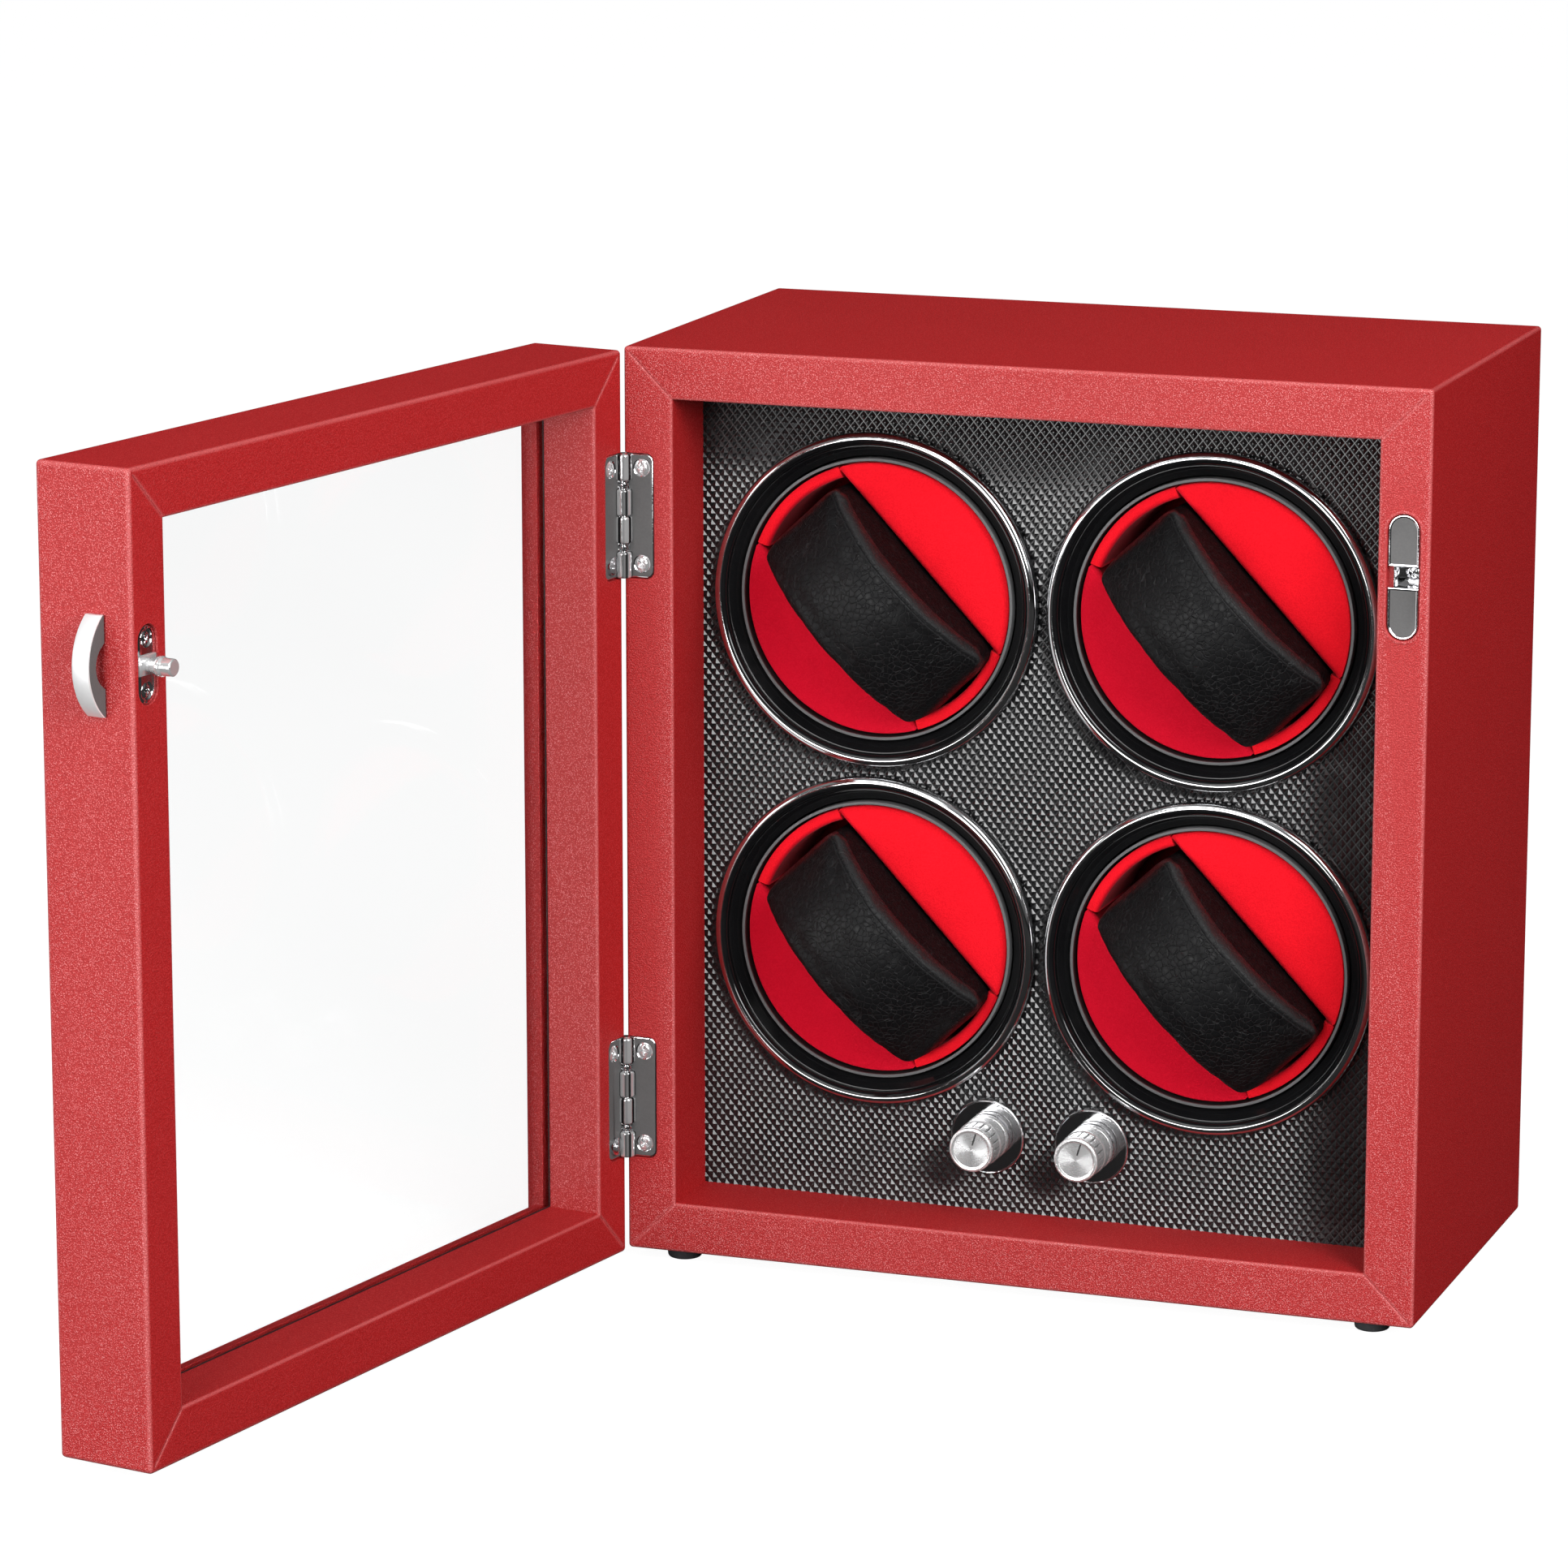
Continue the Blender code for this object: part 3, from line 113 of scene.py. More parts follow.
class Graph:
    """A node tree with short ways to add and join its nodes."""

    def __init__(self, tree: bpy.types.NodeTree) -> None:
        """Takes the tree to work in."""
        self.tree = tree

    def add(self, kind: str, inputs: dict | None = None, **settings: object) -> bpy.types.Node:
        """Adds a node.

        Args:
            kind: the node's type name without its "ShaderNode" start.
            inputs: values or sockets for its inputs, by name or number.
            settings: the node's own options.

        Returns:
            The new node.
        """
        node = self.tree.nodes.new("ShaderNode" + kind)
        for name, value in settings.items():
            setattr(node, name, value)
        for key, value in (inputs or {}).items():
            self.plug(node.inputs[key], value)
        return node

    def plug(self, socket: bpy.types.NodeSocket, value: object) -> None:
        """Links a socket, or sets a plain value on it."""
        if isinstance(value, bpy.types.NodeSocket):
            self.tree.links.new(value, socket)
        else:
            socket.default_value = value

    def math(self, operation: str, *values: object) -> bpy.types.NodeSocket:
        """One arithmetic step on one, two or three values."""
        return self.add("Math", dict(enumerate(values)), operation=operation).outputs[0]

    def span(self, value: object, ends: Step, out: Step = (0.0, 1.0)) -> bpy.types.NodeSocket:
        """Eases a value from the range ends to the range out."""
        inputs = {0: value, 1: ends[0], 2: ends[1], 3: out[0], 4: out[1]}
        return self.add("MapRange", inputs, interpolation_type="SMOOTHSTEP").outputs[0]

    def blend(self, share: object, first: object, second: object) -> bpy.types.NodeSocket:
        """Mixes two colours by a share from 0 to 1."""
        node = self.add("Mix", data_type="RGBA", clamp_factor=True)
        self.plug(node.inputs[0], share)
        self.plug(node.inputs[6], first)
        self.plug(node.inputs[7], second)
        return node.outputs[2]

    def effect(self, kind: Effect, **inputs: object) -> bpy.types.NodeOutputs:
        """Places a shared effect and returns its outputs."""
        node = self.tree.nodes.new("ShaderNodeGroup")
        node.node_tree = bpy.data.node_groups.get(kind.value) or EFFECTS[kind]()
        for key, value in inputs.items():
            self.plug(node.inputs[key], value)
        return node.outputs


def new_effect(kind: Effect, inputs: Sequence[str], outputs: Sequence[str]) -> tuple[Graph, dict, bpy.types.Node]:
    """Starts a node group.

    Args:
        kind: which effect it is.
        inputs: names of its inputs; Vector is a vector, the rest are numbers.
        outputs: names of its number outputs.

    Returns:
        The group's graph, its input sockets by name and its output node.
    """
    tree = bpy.data.node_groups.new(kind.value, "ShaderNodeTree")
    for name in inputs:
        socket_type = "NodeSocketVector" if name == "Vector" else "NodeSocketFloat"
        tree.interface.new_socket(name, in_out="INPUT", socket_type=socket_type)
    for name in outputs:
        tree.interface.new_socket(name, in_out="OUTPUT", socket_type="NodeSocketFloat")
    entry = tree.nodes.new("NodeGroupInput")
    return Graph(tree), {name: entry.outputs[name] for name in inputs}, tree.nodes.new("NodeGroupOutput")


def pebbled_grain() -> bpy.types.NodeTree:
    """Leather grain: wandering cells give rounded pebbles, the lines between them creases."""
    g, given, out = new_effect(Effect.GRAIN, ("Vector", "Cells", "Wander"), ("Height", "Crown", "Crease"))
    warp = g.add(
        "TexNoise", {"Vector": given["Vector"], "Scale": g.math("MULTIPLY", given["Cells"], 0.4), "Detail": 2.0},
    )
    centred = g.add("VectorMath", {0: warp.outputs["Color"], 1: (0.5, 0.5, 0.5)}, operation="SUBTRACT").outputs[0]
    reach = g.math("DIVIDE", given["Wander"], given["Cells"])
    shift = g.add("VectorMath", {0: centred, 3: reach}, operation="SCALE").outputs[0]
    place = g.add("VectorMath", {0: given["Vector"], 1: shift}, operation="ADD").outputs[0]
    pebble = g.add("TexVoronoi", {"Vector": place, "Scale": given["Cells"]}, feature="F1")
    finer = g.add("TexVoronoi", {"Vector": place, "Scale": g.math("MULTIPLY", given["Cells"], 2.3)}, feature="F1")
    edge = g.add("TexVoronoi", {"Vector": place, "Scale": given["Cells"]}, feature="DISTANCE_TO_EDGE")
    low = g.math("MULTIPLY", finer.outputs["Distance"], 0.3)
    height = g.math("SUBTRACT", 1.0, g.math("ADD", pebble.outputs["Distance"], low))
    g.plug(out.inputs["Height"], height)
    g.plug(out.inputs["Crown"], g.span(height, (0.42, 0.64)))
    g.plug(out.inputs["Crease"], g.span(edge.outputs["Distance"], (0.015, 0.085), (1.0, 0.0)))
    return g.tree


def handling_marks() -> bpy.types.NodeTree:
    """Traces of use on smooth surfaces: soft smears and hair scratches."""
    g, given, out = new_effect(Effect.HANDLING, ("Vector", "Scale"), ("Smear", "Scratch"))
    soft = g.add("TexNoise", {"Vector": given["Vector"], "Scale": given["Scale"], "Detail": 4.0, "Distortion": 0.6})
    drawn = g.add("Mapping", {"Vector": given["Vector"], "Rotation": (0.4, 0.9, 0.3), "Scale": (1.0, 14.0, 9.0)})
    hair = g.add("TexNoise", {"Vector": drawn.outputs[0], "Scale": given["Scale"], "Detail": 3.0})
    away = g.math("ABSOLUTE", g.math("SUBTRACT", hair.outputs["Fac"], 0.5))
    g.plug(out.inputs["Smear"], g.span(soft.outputs["Fac"], (0.35, 0.7)))
    g.plug(out.inputs["Scratch"], g.span(away, (0.0, 0.02), (1.0, 0.0)))
    return g.tree


def slow_mottle() -> bpy.types.NodeTree:
    """Uneven dye and moulding: a slow cloud and a fine speckle."""
    g, given, out = new_effect(Effect.MOTTLE, ("Vector", "Slow", "Fine"), ("Cloud", "Speckle"))
    slow = g.add("TexNoise", {"Vector": given["Vector"], "Scale": given["Slow"], "Detail": 3.0})
    fine = g.add("TexNoise", {"Vector": given["Vector"], "Scale": given["Fine"], "Detail": 2.0})
    g.plug(out.inputs["Cloud"], g.span(slow.outputs["Fac"], (0.3, 0.7)))
    g.plug(out.inputs["Speckle"], g.span(fine.outputs["Fac"], (0.35, 0.65)))
    return g.tree


EFFECTS: dict[Effect, Callable[[], bpy.types.NodeTree]] = {
    Effect.GRAIN: pebbled_grain,
    Effect.HANDLING: handling_marks,
    Effect.MOTTLE: slow_mottle,
}


@dataclass(frozen=True)
class Finish:
    """A finish with a name; its material is made once."""

    name: str

    def material(self) -> bpy.types.Material:
        """Gives the finish's material, making it at first use."""
        label = f"finish_{self.name}"
        found = bpy.data.materials.get(label)
        if found is None:
            found = bpy.data.materials.new(label)
            found.use_nodes = True
            graph = Graph(found.node_tree)
            self.paint(graph, found.node_tree.nodes["Principled BSDF"])
        return found

    def paint(self, g: Graph, shader: bpy.types.Node) -> None:
        """Joins the finish's nodes to its shader."""
        raise NotImplementedError

    @staticmethod
    def coat_with(g: Graph, shader: bpy.types.Node, values: dict) -> None:
        """Sets or links several inputs of the shader."""
        for key, value in values.items():
            g.plug(shader.inputs[key], value)


@dataclass(frozen=True)
class Leather(Finish):
    """Grained leather: pebbles, and a pale painted highlight on their crowns, strongest on faces that look to the
    front, along creases and on marked edges.
    """

    hollow: Colour
    crown: Colour
    painted_highlight: Colour
    cell: float
    crown_glint_share: float
    crease_highlight_share: float
    edge_highlight_share: float
    roughness: Step
    relief: float
    gloss: float
    wander: float = 0.9
    forward_sheen_share: float = 0.0
    fold: float = 0.0

    def paint(self, g: Graph, shader: bpy.types.Node) -> None:
        """Blends hollow and crown by height, then paints the pale highlight over crowns, creases and marked edges."""
        place = g.add("TexCoord").outputs["Object"]
        grain = g.effect(Effect.GRAIN, Vector=place, Cells=1.0 / (self.cell * MM), Wander=self.wander)
        dye = g.effect(Effect.MOTTLE, Vector=place, Slow=24.0, Fine=1100.0)
        edge = g.add("Attribute", attribute_name="edge").outputs["Fac"]
        base = g.blend(g.span(grain["Height"], (0.1, 0.8)), self.hollow, self.crown)
        patchy = g.math("MULTIPLY_ADD", dye["Speckle"], 0.6, 0.4)
        # Painted sheen and glints: the pale colour lies on pebble crowns, more where faces look to the front, on
        # creases and where the edge attribute marks a highlight.
        forward_sheen = g.add("Attribute", attribute_name="forward_sheen").outputs["Fac"]
        pale = g.math("MULTIPLY_ADD", forward_sheen, self.forward_sheen_share, self.crown_glint_share)
        share = g.math("MULTIPLY", g.math("MULTIPLY", grain["Crown"], patchy), pale)
        crease = g.math("MULTIPLY", grain["Crease"], patchy)
        share = g.math("MULTIPLY_ADD", crease, self.crease_highlight_share, share)
        share = g.math("MULTIPLY_ADD", edge, self.edge_highlight_share, share)
        colour = g.blend(share, base, self.painted_highlight)
        colour = g.blend(g.math("MULTIPLY", dye["Cloud"], 0.18), colour, self.hollow)
        bumpy = g.math("MULTIPLY", grain["Height"], 1.0 - self.fold)
        bumpy = g.math("MULTIPLY_ADD", grain["Crease"], -self.fold, bumpy)
        bump = g.add("Bump", {"Strength": 0.8, "Distance": self.relief * MM, "Height": bumpy})
        rough = g.span(grain["Crown"], (0.0, 1.0), self.roughness)
        values = {"Base Color": colour, "Roughness": rough, "Normal": bump.outputs[0]}
        values["IOR"] = self.gloss
        self.coat_with(g, shader, values)


@dataclass(frozen=True)
class Velvet(Finish):
    """Short pile cloth: fine fibres, a darker painted shade on the half-moon whose pile is turned, and painted shade
    down in the slot.
    """

    facing: Colour
    turned: Colour
    deep: Colour
    shaded: Colour

    def paint(self, g: Graph, shader: bpy.types.Node) -> None:
        """Blends by the edge attribute: facing at 0, the turned pile's painted shade at 1, the slot's painted shade at
        2; then fibres over that.
        """
        place = g.add("TexCoord").outputs["Object"]
        pile = g.effect(Effect.MOTTLE, Vector=place, Slow=60.0, Fine=2600.0)
        nap_shade = g.add("Attribute", attribute_name="edge").outputs["Fac"]
        # Painted shade: the colour goes from facing to turned to shaded as the attribute rises.
        colour = g.blend(nap_shade, self.facing, self.turned)
        colour = g.blend(g.math("SUBTRACT", nap_shade, 1.0), colour, self.shaded)
        colour = g.blend(g.math("MULTIPLY", pile["Speckle"], 0.16), colour, self.deep)
        colour = g.blend(g.math("MULTIPLY", pile["Cloud"], 0.1), colour, self.deep)
        bump = g.add("Bump", {"Strength": 0.5, "Distance": 0.12 * MM, "Height": pile["Speckle"]})
        rough = g.span(pile["Speckle"], (0.0, 1.0), (0.8, 0.95))
        tint = (1.0, 0.12, 0.14, 1.0)
        values = {"Base Color": colour, "Roughness": rough, "Normal": bump.outputs[0]}
        values.update({"Sheen Weight": 0.35, "Sheen Roughness": 0.4, "Sheen Tint": tint, "Specular IOR Level": 0.1})
        self.coat_with(g, shader, values)


@dataclass(frozen=True)
class Metal(Finish):
    """Bare or plated metal: handled, and where spun or brushed with a drawn gloss."""

    bright: Colour
    dull: Colour
    roughness: Step
    drawn: float = 0.0
    metal: float = 1.0

    def paint(self, g: Graph, shader: bpy.types.Node) -> None:
        """Roughens the gloss by smears and scratches, and paints dark where the edge attribute marks reflection bands
        and grooves; a spun face gets a round tangent.
        """
        place = g.add("TexCoord").outputs["Object"]
        marks = g.effect(Effect.HANDLING, Vector=place, Scale=140.0)
        colour = g.blend(marks["Smear"], self.bright, self.dull)
        # Painted reflections and shade: marked places go near black.
        colour = g.blend(g.add("Attribute", attribute_name="edge").outputs["Fac"], colour, (0.015, 0.015, 0.016, 1))
        rough = g.span(g.math("MULTIPLY_ADD", marks["Scratch"], 0.3, marks["Smear"]), (0.0, 1.3), self.roughness)
        bump = g.add("Bump", {"Strength": 0.05, "Distance": 0.02 * MM, "Height": marks["Scratch"]})
        values = {"Base Color": colour, "Roughness": rough, "Normal": bump.outputs[0], "Metallic": self.metal}
        if self.drawn:
            values["Anisotropic"] = self.drawn
            values["Tangent"] = g.add("Tangent", direction_type="RADIAL", axis="Y").outputs[0]
        self.coat_with(g, shader, values)


@dataclass(frozen=True)
class Moulded(Finish):
    """Moulded or lacquered stock: an even colour with slight mottle, fine texture and gloss marks."""

    tone: Colour
    worn: Colour
    roughness: Step
    texture: float = 0.02
    specular: float = 0.5

    def paint(self, g: Graph, shader: bpy.types.Node) -> None:
        """Blends tone and worn by a slow cloud and gives a fine bump."""
        place = g.add("TexCoord").outputs["Object"]
        body = g.effect(Effect.MOTTLE, Vector=place, Slow=45.0, Fine=1500.0)
        marks = g.effect(Effect.HANDLING, Vector=place, Scale=90.0)
        share = g.math("MULTIPLY_ADD", body["Speckle"], 0.3, g.math("MULTIPLY", body["Cloud"], 0.5))
        colour = g.blend(share, self.tone, self.worn)
        rough = g.span(marks["Smear"], (0.0, 1.0), self.roughness)
        bump = g.add("Bump", {"Strength": 0.3, "Distance": self.texture * MM, "Height": body["Speckle"]})
        values = {"Base Color": colour, "Roughness": rough, "Normal": bump.outputs[0]}
        values["Specular IOR Level"] = self.specular
        self.coat_with(g, shader, values)


@dataclass(frozen=True)
class Glass(Finish):
    """Clear float glass with faint painted slanting highlight bands and smears of handling."""

    tint: Colour
    smear_and_sheen: Colour

    def paint(self, g: Graph, shader: bpy.types.Node) -> None:
        """Clear all over, with painted slanting highlight bands in its tint and smears in its gloss."""
        place = g.add("TexCoord").outputs["Object"]
        marks = g.effect(Effect.HANDLING, Vector=place, Scale=12.0)
        rough = g.span(marks["Smear"], (0.0, 1.0), (0.0, 0.02))
        axes = g.add("SeparateXYZ", {0: place}).outputs
        # Painted highlight: slanting bands in the tint stand in for a reflected sheen.
        slant = g.math("MULTIPLY_ADD", axes["Y"], 0.6, axes["Z"])
        sheen = g.span(g.math("PINGPONG", slant, 0.13), (0.03, 0.1))
        colour = g.blend(g.math("MULTIPLY_ADD", marks["Smear"], 0.2, sheen), self.tint, self.smear_and_sheen)
        values = {"Base Color": colour, "Roughness": rough, "Transmission Weight": 1.0, "IOR": 1.12}
        self.coat_with(g, shader, values)


@dataclass(frozen=True)
class Paper(Finish):
    """Studio paper: white where it is looked at, straight or through glass, grey in what it throws, dark in mirrors."""

    seen: Colour
    thrown: Colour
    mirrored: Colour
    glow: float

    def paint(self, g: Graph, shader: bpy.types.Node) -> None:
        """Picks the tone by the kind of ray."""
        path = g.add("LightPath").outputs
        direct = g.math("MAXIMUM", path["Is Camera Ray"], path["Is Transmission Ray"])
        lit = g.math("MULTIPLY", direct, self.glow)
        glow = g.add("CombineXYZ", {0: lit, 1: lit, 2: lit}).outputs[0]
        tone = g.blend(path["Is Glossy Ray"], self.thrown, self.mirrored)
        values = {"Base Color": g.blend(direct, tone, self.seen), "Emission Color": glow}
        values.update({"Emission Strength": 1.0, "Roughness": 0.9, "Specular IOR Level": 0.0})
        self.coat_with(g, shader, values)


# Each leather's third colour is its painted highlight: glints on crowns and creases, sheen on front faces, and
# highlights on marked edges and the pillow's seam shoulder.
RED_LEATHER = Leather(
    "red_leather", (0.36, 0.005, 0.006, 1), (0.5, 0.012, 0.014, 1), (0.92, 0.5, 0.5, 1),
    cell=0.45, crown_glint_share=0.06, crease_highlight_share=0.0, edge_highlight_share=0.12, roughness=(0.54, 0.33), relief=0.19, gloss=1.57,
    wander=0.6, forward_sheen_share=0.34,
)
BLACK_LEATHER = Leather(
    "black_leather", (0.003, 0.003, 0.0034, 1), (0.006, 0.006, 0.0064, 1), (0.12, 0.12, 0.122, 1),
    cell=1.8, crown_glint_share=0.0, crease_highlight_share=0.1, edge_highlight_share=0.2, roughness=(0.46, 0.34), relief=0.3, gloss=1.24,
    wander=0.9, fold=0.75,
)
SIDE_LEATHER = replace(BLACK_LEATHER, name="black_side", gloss=1.07)
# Velvet colours: facing, the turned half-moon's painted shade, fibre, and the painted shade down the slot.
RED_VELVET = Velvet(
    "red_velvet", (0.9, 0.007, 0.018, 1), (0.7, 0.004, 0.024, 1), (0.42, 0.002, 0.006, 1), (0.05, 0.0005, 0.002, 1)
)
CHROME = Metal("chrome", (0.86, 0.86, 0.87, 1), (0.8, 0.8, 0.82, 1), (0.04, 0.13))
PLATE_GREY = Moulded("plate_grey", (0.11, 0.108, 0.108, 1), (0.09, 0.088, 0.088, 1), (0.4, 0.52), 0.03, 0.25)
POLISHED = Metal("polished_plate", (0.86, 0.86, 0.86, 1), (0.78, 0.78, 0.79, 1), (0.06, 0.15), metal=0.72)
DIAL_MIRROR = Metal("dial_mirror", (0.5, 0.5, 0.51, 1), (0.44, 0.44, 0.45, 1), (0.02, 0.06))
DARK_CHROME = Metal("dark_chrome", (0.6, 0.6, 0.61, 1), (0.52, 0.52, 0.53, 1), (0.04, 0.11))
BOW_METAL = Metal("bow_metal", (0.9, 0.9, 0.9, 1), (0.84, 0.84, 0.85, 1), (0.36, 0.5), metal=0.45)
SPUN = Metal("spun_aluminium", (0.9, 0.9, 0.9, 1), (0.84, 0.84, 0.85, 1), (0.24, 0.32), drawn=0.75, metal=0.74)
GLOSS_BLACK = Moulded("gloss_black", (0.004, 0.004, 0.0045, 1), (0.008, 0.008, 0.0085, 1), (0.05, 0.14), 0.004)
PANEL_BLACK = Moulded("embossed_black", (0.008, 0.008, 0.0085, 1), (0.013, 0.013, 0.0135, 1), (0.18, 0.28), 0.006, 0.6)
CUP_GREY = Moulded("cup_grey", (0.12, 0.12, 0.123, 1), (0.1, 0.1, 0.102, 1), (0.45, 0.6), 0.02, 0.3)
CUP_BLACK = Moulded("cup_black", (0.01, 0.01, 0.011, 1), (0.016, 0.016, 0.017, 1), (0.4, 0.6))
RUBBER = Moulded("rubber", (0.035, 0.035, 0.038, 1), (0.055, 0.055, 0.058, 1), (0.6, 0.8), 0.05, 0.3)
INK = Moulded("pointer_black", (0.01, 0.01, 0.01, 1), (0.02, 0.02, 0.02, 1), (0.5, 0.7))
GLASS = Glass("clear_glass", (0.925, 0.927, 0.927, 1), (0.905, 0.907, 0.907, 1))
STEEL = Metal("drive_steel", (0.5, 0.5, 0.51, 1), (0.4, 0.4, 0.42, 1), (0.3, 0.45))
NYLON = Moulded("drive_nylon", (0.75, 0.73, 0.68, 1), (0.68, 0.66, 0.6, 1), (0.4, 0.55))
BOARD_GREEN = Moulded("circuit_green", (0.01, 0.12, 0.03, 1), (0.012, 0.16, 0.045, 1), (0.3, 0.45))
CHASSIS_GREY = Moulded("chassis_grey", (0.12, 0.12, 0.125, 1), (0.16, 0.16, 0.165, 1), (0.5, 0.65))
FLOOR_WHITE = Paper("floor_white", (0.2, 0.2, 0.2, 1), (0.1, 0.1, 0.1, 1), (0.025, 0.025, 0.025, 1), 0.95)


@dataclass(frozen=True)
class Seat:
    """Where a sub-assembly's own millimetres lie: an origin in metres and a turn in degrees about an axis."""

    origin: tuple[float, float, float]
    axis: str = "Z"
    turn: float = 0.0

    def put(self, points: Array) -> Array:
        """Points in metres: the origin plus a thousandth of the turned points."""
        turned = np.array(Matrix.Rotation(np.radians(self.turn), 3, self.axis))
        return np.asarray(self.origin) + MM * points @ turned.T

    def moved(self, x: float, y: float, z: float) -> "Seat":
        """The same seat with its origin moved by millimetres in its own axes."""
        return Seat(tuple(self.put(np.array([x, y, z], float))), self.axis, self.turn)


PANEL_FRONT = 26.5
HINGE_LINE = -1.0
DOOR_REST = -100.4
CABINET_SEAT = Seat(tuple(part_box("cabinet_shell")[0]))
DOOR_SEAT = Seat(tuple(CABINET_SEAT.put(np.array([0.0, HINGE_LINE, 0.0]))), "Z", DOOR_REST)


def grid_quads(rows: int, cols: int, rows_meet: bool, cols_meet: bool) -> Array:
    """Point numbers of the quads of a grid: each point with its next column, next row and both."""
    r, c = np.meshgrid(np.arange(rows - (not rows_meet)), np.arange(cols - (not cols_meet)), indexing="ij")
    r2, c2 = (r + 1) % rows, (c + 1) % cols
    return np.stack([r * cols + c, r * cols + c2, r2 * cols + c2, r2 * cols + c], -1).reshape(-1, 4)


class Skin:
    """Gathers grids, caps and faces into the mesh of one piece."""

    def __init__(self) -> None:
        """Starts with nothing gathered."""
        self.points: list[Array] = []
        self.marks: list[Array] = []
        self.faces: list[list[int]] = []
        self.bands: list[int] = []
        self.count = 0

    def body(self, points: Array, faces: list[list[int]], mark: object = 0.0, band: int = 0) -> "Skin":
        """Takes points and faces.

        Args:
            points: rows of x, y, z.
            faces: point numbers of each face.
            mark: a number, or one for each point, kept in the attribute "edge", which the finishes read as painted
                highlight, shade and reflection.
            band: which of the piece's finishes the faces take.

        Returns:
            The skin itself.
        """
        self.points.append(points.reshape(-1, 3))
        self.marks.append(np.broadcast_to(np.asarray(mark, float).reshape(-1), (len(self.points[-1]),)))
        self.faces += [[i + self.count for i in face] for face in faces]
        self.bands += [band] * len(faces)
        self.count += len(self.points[-1])
        return self

    def grid(
        self, points: Array, rows_meet: bool = False, cols_meet: bool = True, mark: object = 0.0, band: int = 0,
    ) -> "Skin":
        """Takes a grid of points and joins neighbours by quads."""
        quads = grid_quads(*points.shape[:2], rows_meet, cols_meet)
        return self.body(points, quads.tolist(), mark, band)

    def solid(self, points: Array, mark: object = 0.0, band: int = 0) -> "Skin":
        """Takes a tube of rings and closes both its ends with a face."""
        self.grid(points, mark=mark, band=band)
        ring = list(range(points.shape[1]))
        self.body(points[0], [ring], band=band)
        return self.body(points[-1], [ring], band=band)

    def make(
        self, name: str, seat: Seat, finishes: Sequence[Finish] = (), sharp: float = 35.0, sheet: bool = False,
    ) -> bpy.types.Object:
        """Makes the object, with doubles merged and faces turned outwards.

        Args:
            name: the object's name.
            seat: where the points lie.
            finishes: one finish for each band.
            sharp: edges bent by more than this many degrees stay crisp.
            sheet: an open sheet keeps the facing it was given.

        Returns:
            The new object, at the origin.
        """
        mesh = bpy.data.meshes.new(name)
        mesh.from_pydata(seat.put(np.concatenate(self.points)).tolist(), [], self.faces)
        mesh.attributes.new("edge", "FLOAT", "POINT").data.foreach_set("value", np.concatenate(self.marks))
        mesh.polygons.foreach_set("material_index", np.array(self.bands, np.int32))
        work = bmesh.new()
        work.from_mesh(mesh)
        bmesh.ops.remove_doubles(work, verts=work.verts, dist=0.002 * MM)
        bmesh.ops.dissolve_degenerate(work, edges=work.edges, dist=0.001 * MM)
        if not sheet:
            bmesh.ops.recalc_face_normals(work, faces=work.faces)
        work.to_mesh(mesh)
        work.free()
        # Faces that look to the front, along minus Y, get a weight in an attribute which the leather reads to paint a
        # sheen there.
        normals = np.empty(len(mesh.vertices) * 3)
        mesh.vertex_normals.foreach_get("vector", normals)
        forward_sheen = np.clip((-normals[1::3] - 0.3) / 0.6, 0.0, 1.0)
        mesh.attributes.new("forward_sheen", "FLOAT", "POINT").data.foreach_set("value", forward_sheen)
        for finish in finishes:
            mesh.materials.append(finish.material())
        smooth(mesh, sharp)
        item = bpy.data.objects.new(name, mesh)
        bpy.context.scene.collection.objects.link(item)
        return item


def smooth(mesh: bpy.types.Mesh, sharp: float) -> None:
    """Shades a mesh smooth but for edges bent by more than sharp degrees."""
    mesh.polygons.foreach_set("use_smooth", np.ones(len(mesh.polygons), bool))
    mesh.set_sharp_from_angle(angle=np.radians(sharp))
    mesh.update()


def carve(item: bpy.types.Object, cutters: Sequence[bpy.types.Object], sharp: float = 35.0) -> bpy.types.Object:
    """Cuts closed shapes out of a piece for good, and removes the shapes.

    Args:
        item: the piece.
        cutters: the shapes to cut out.
        sharp: edges bent by more than this many degrees stay crisp.

    Returns:
        The piece.
    """
    for cutter in cutters:
        item.modifiers.new("cut", "BOOLEAN").object = cutter
    result = bpy.data.meshes.new_from_object(item.evaluated_get(bpy.context.evaluated_depsgraph_get()))
    item.modifiers.clear()
    old, item.data = item.data, result
    result.name = item.name
    for mesh in [old] + [cutter.data for cutter in cutters]:
        bpy.data.meshes.remove(mesh)
    smooth(result, sharp)
    return item


def dress(item: bpy.types.Object, body: str, slot: Slot, *nodes: str) -> bpy.types.Object:
    """Puts a piece on its body, hides the nodes it stands for, and reports it."""
    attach(item, body)
    if nodes:
        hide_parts(*nodes)
    LOG.info("%s rides %s, %d faces", item.name, body, len(item.data.polygons))
    return item


def redress(node: str, finish: Finish) -> None:
    """Gives a CAD node that stays a procedural finish."""
    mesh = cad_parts[node].data
    mesh.materials.clear()
    mesh.materials.append(finish.material())
    LOG.info("%s keeps its solid, in %s", node, finish.name)


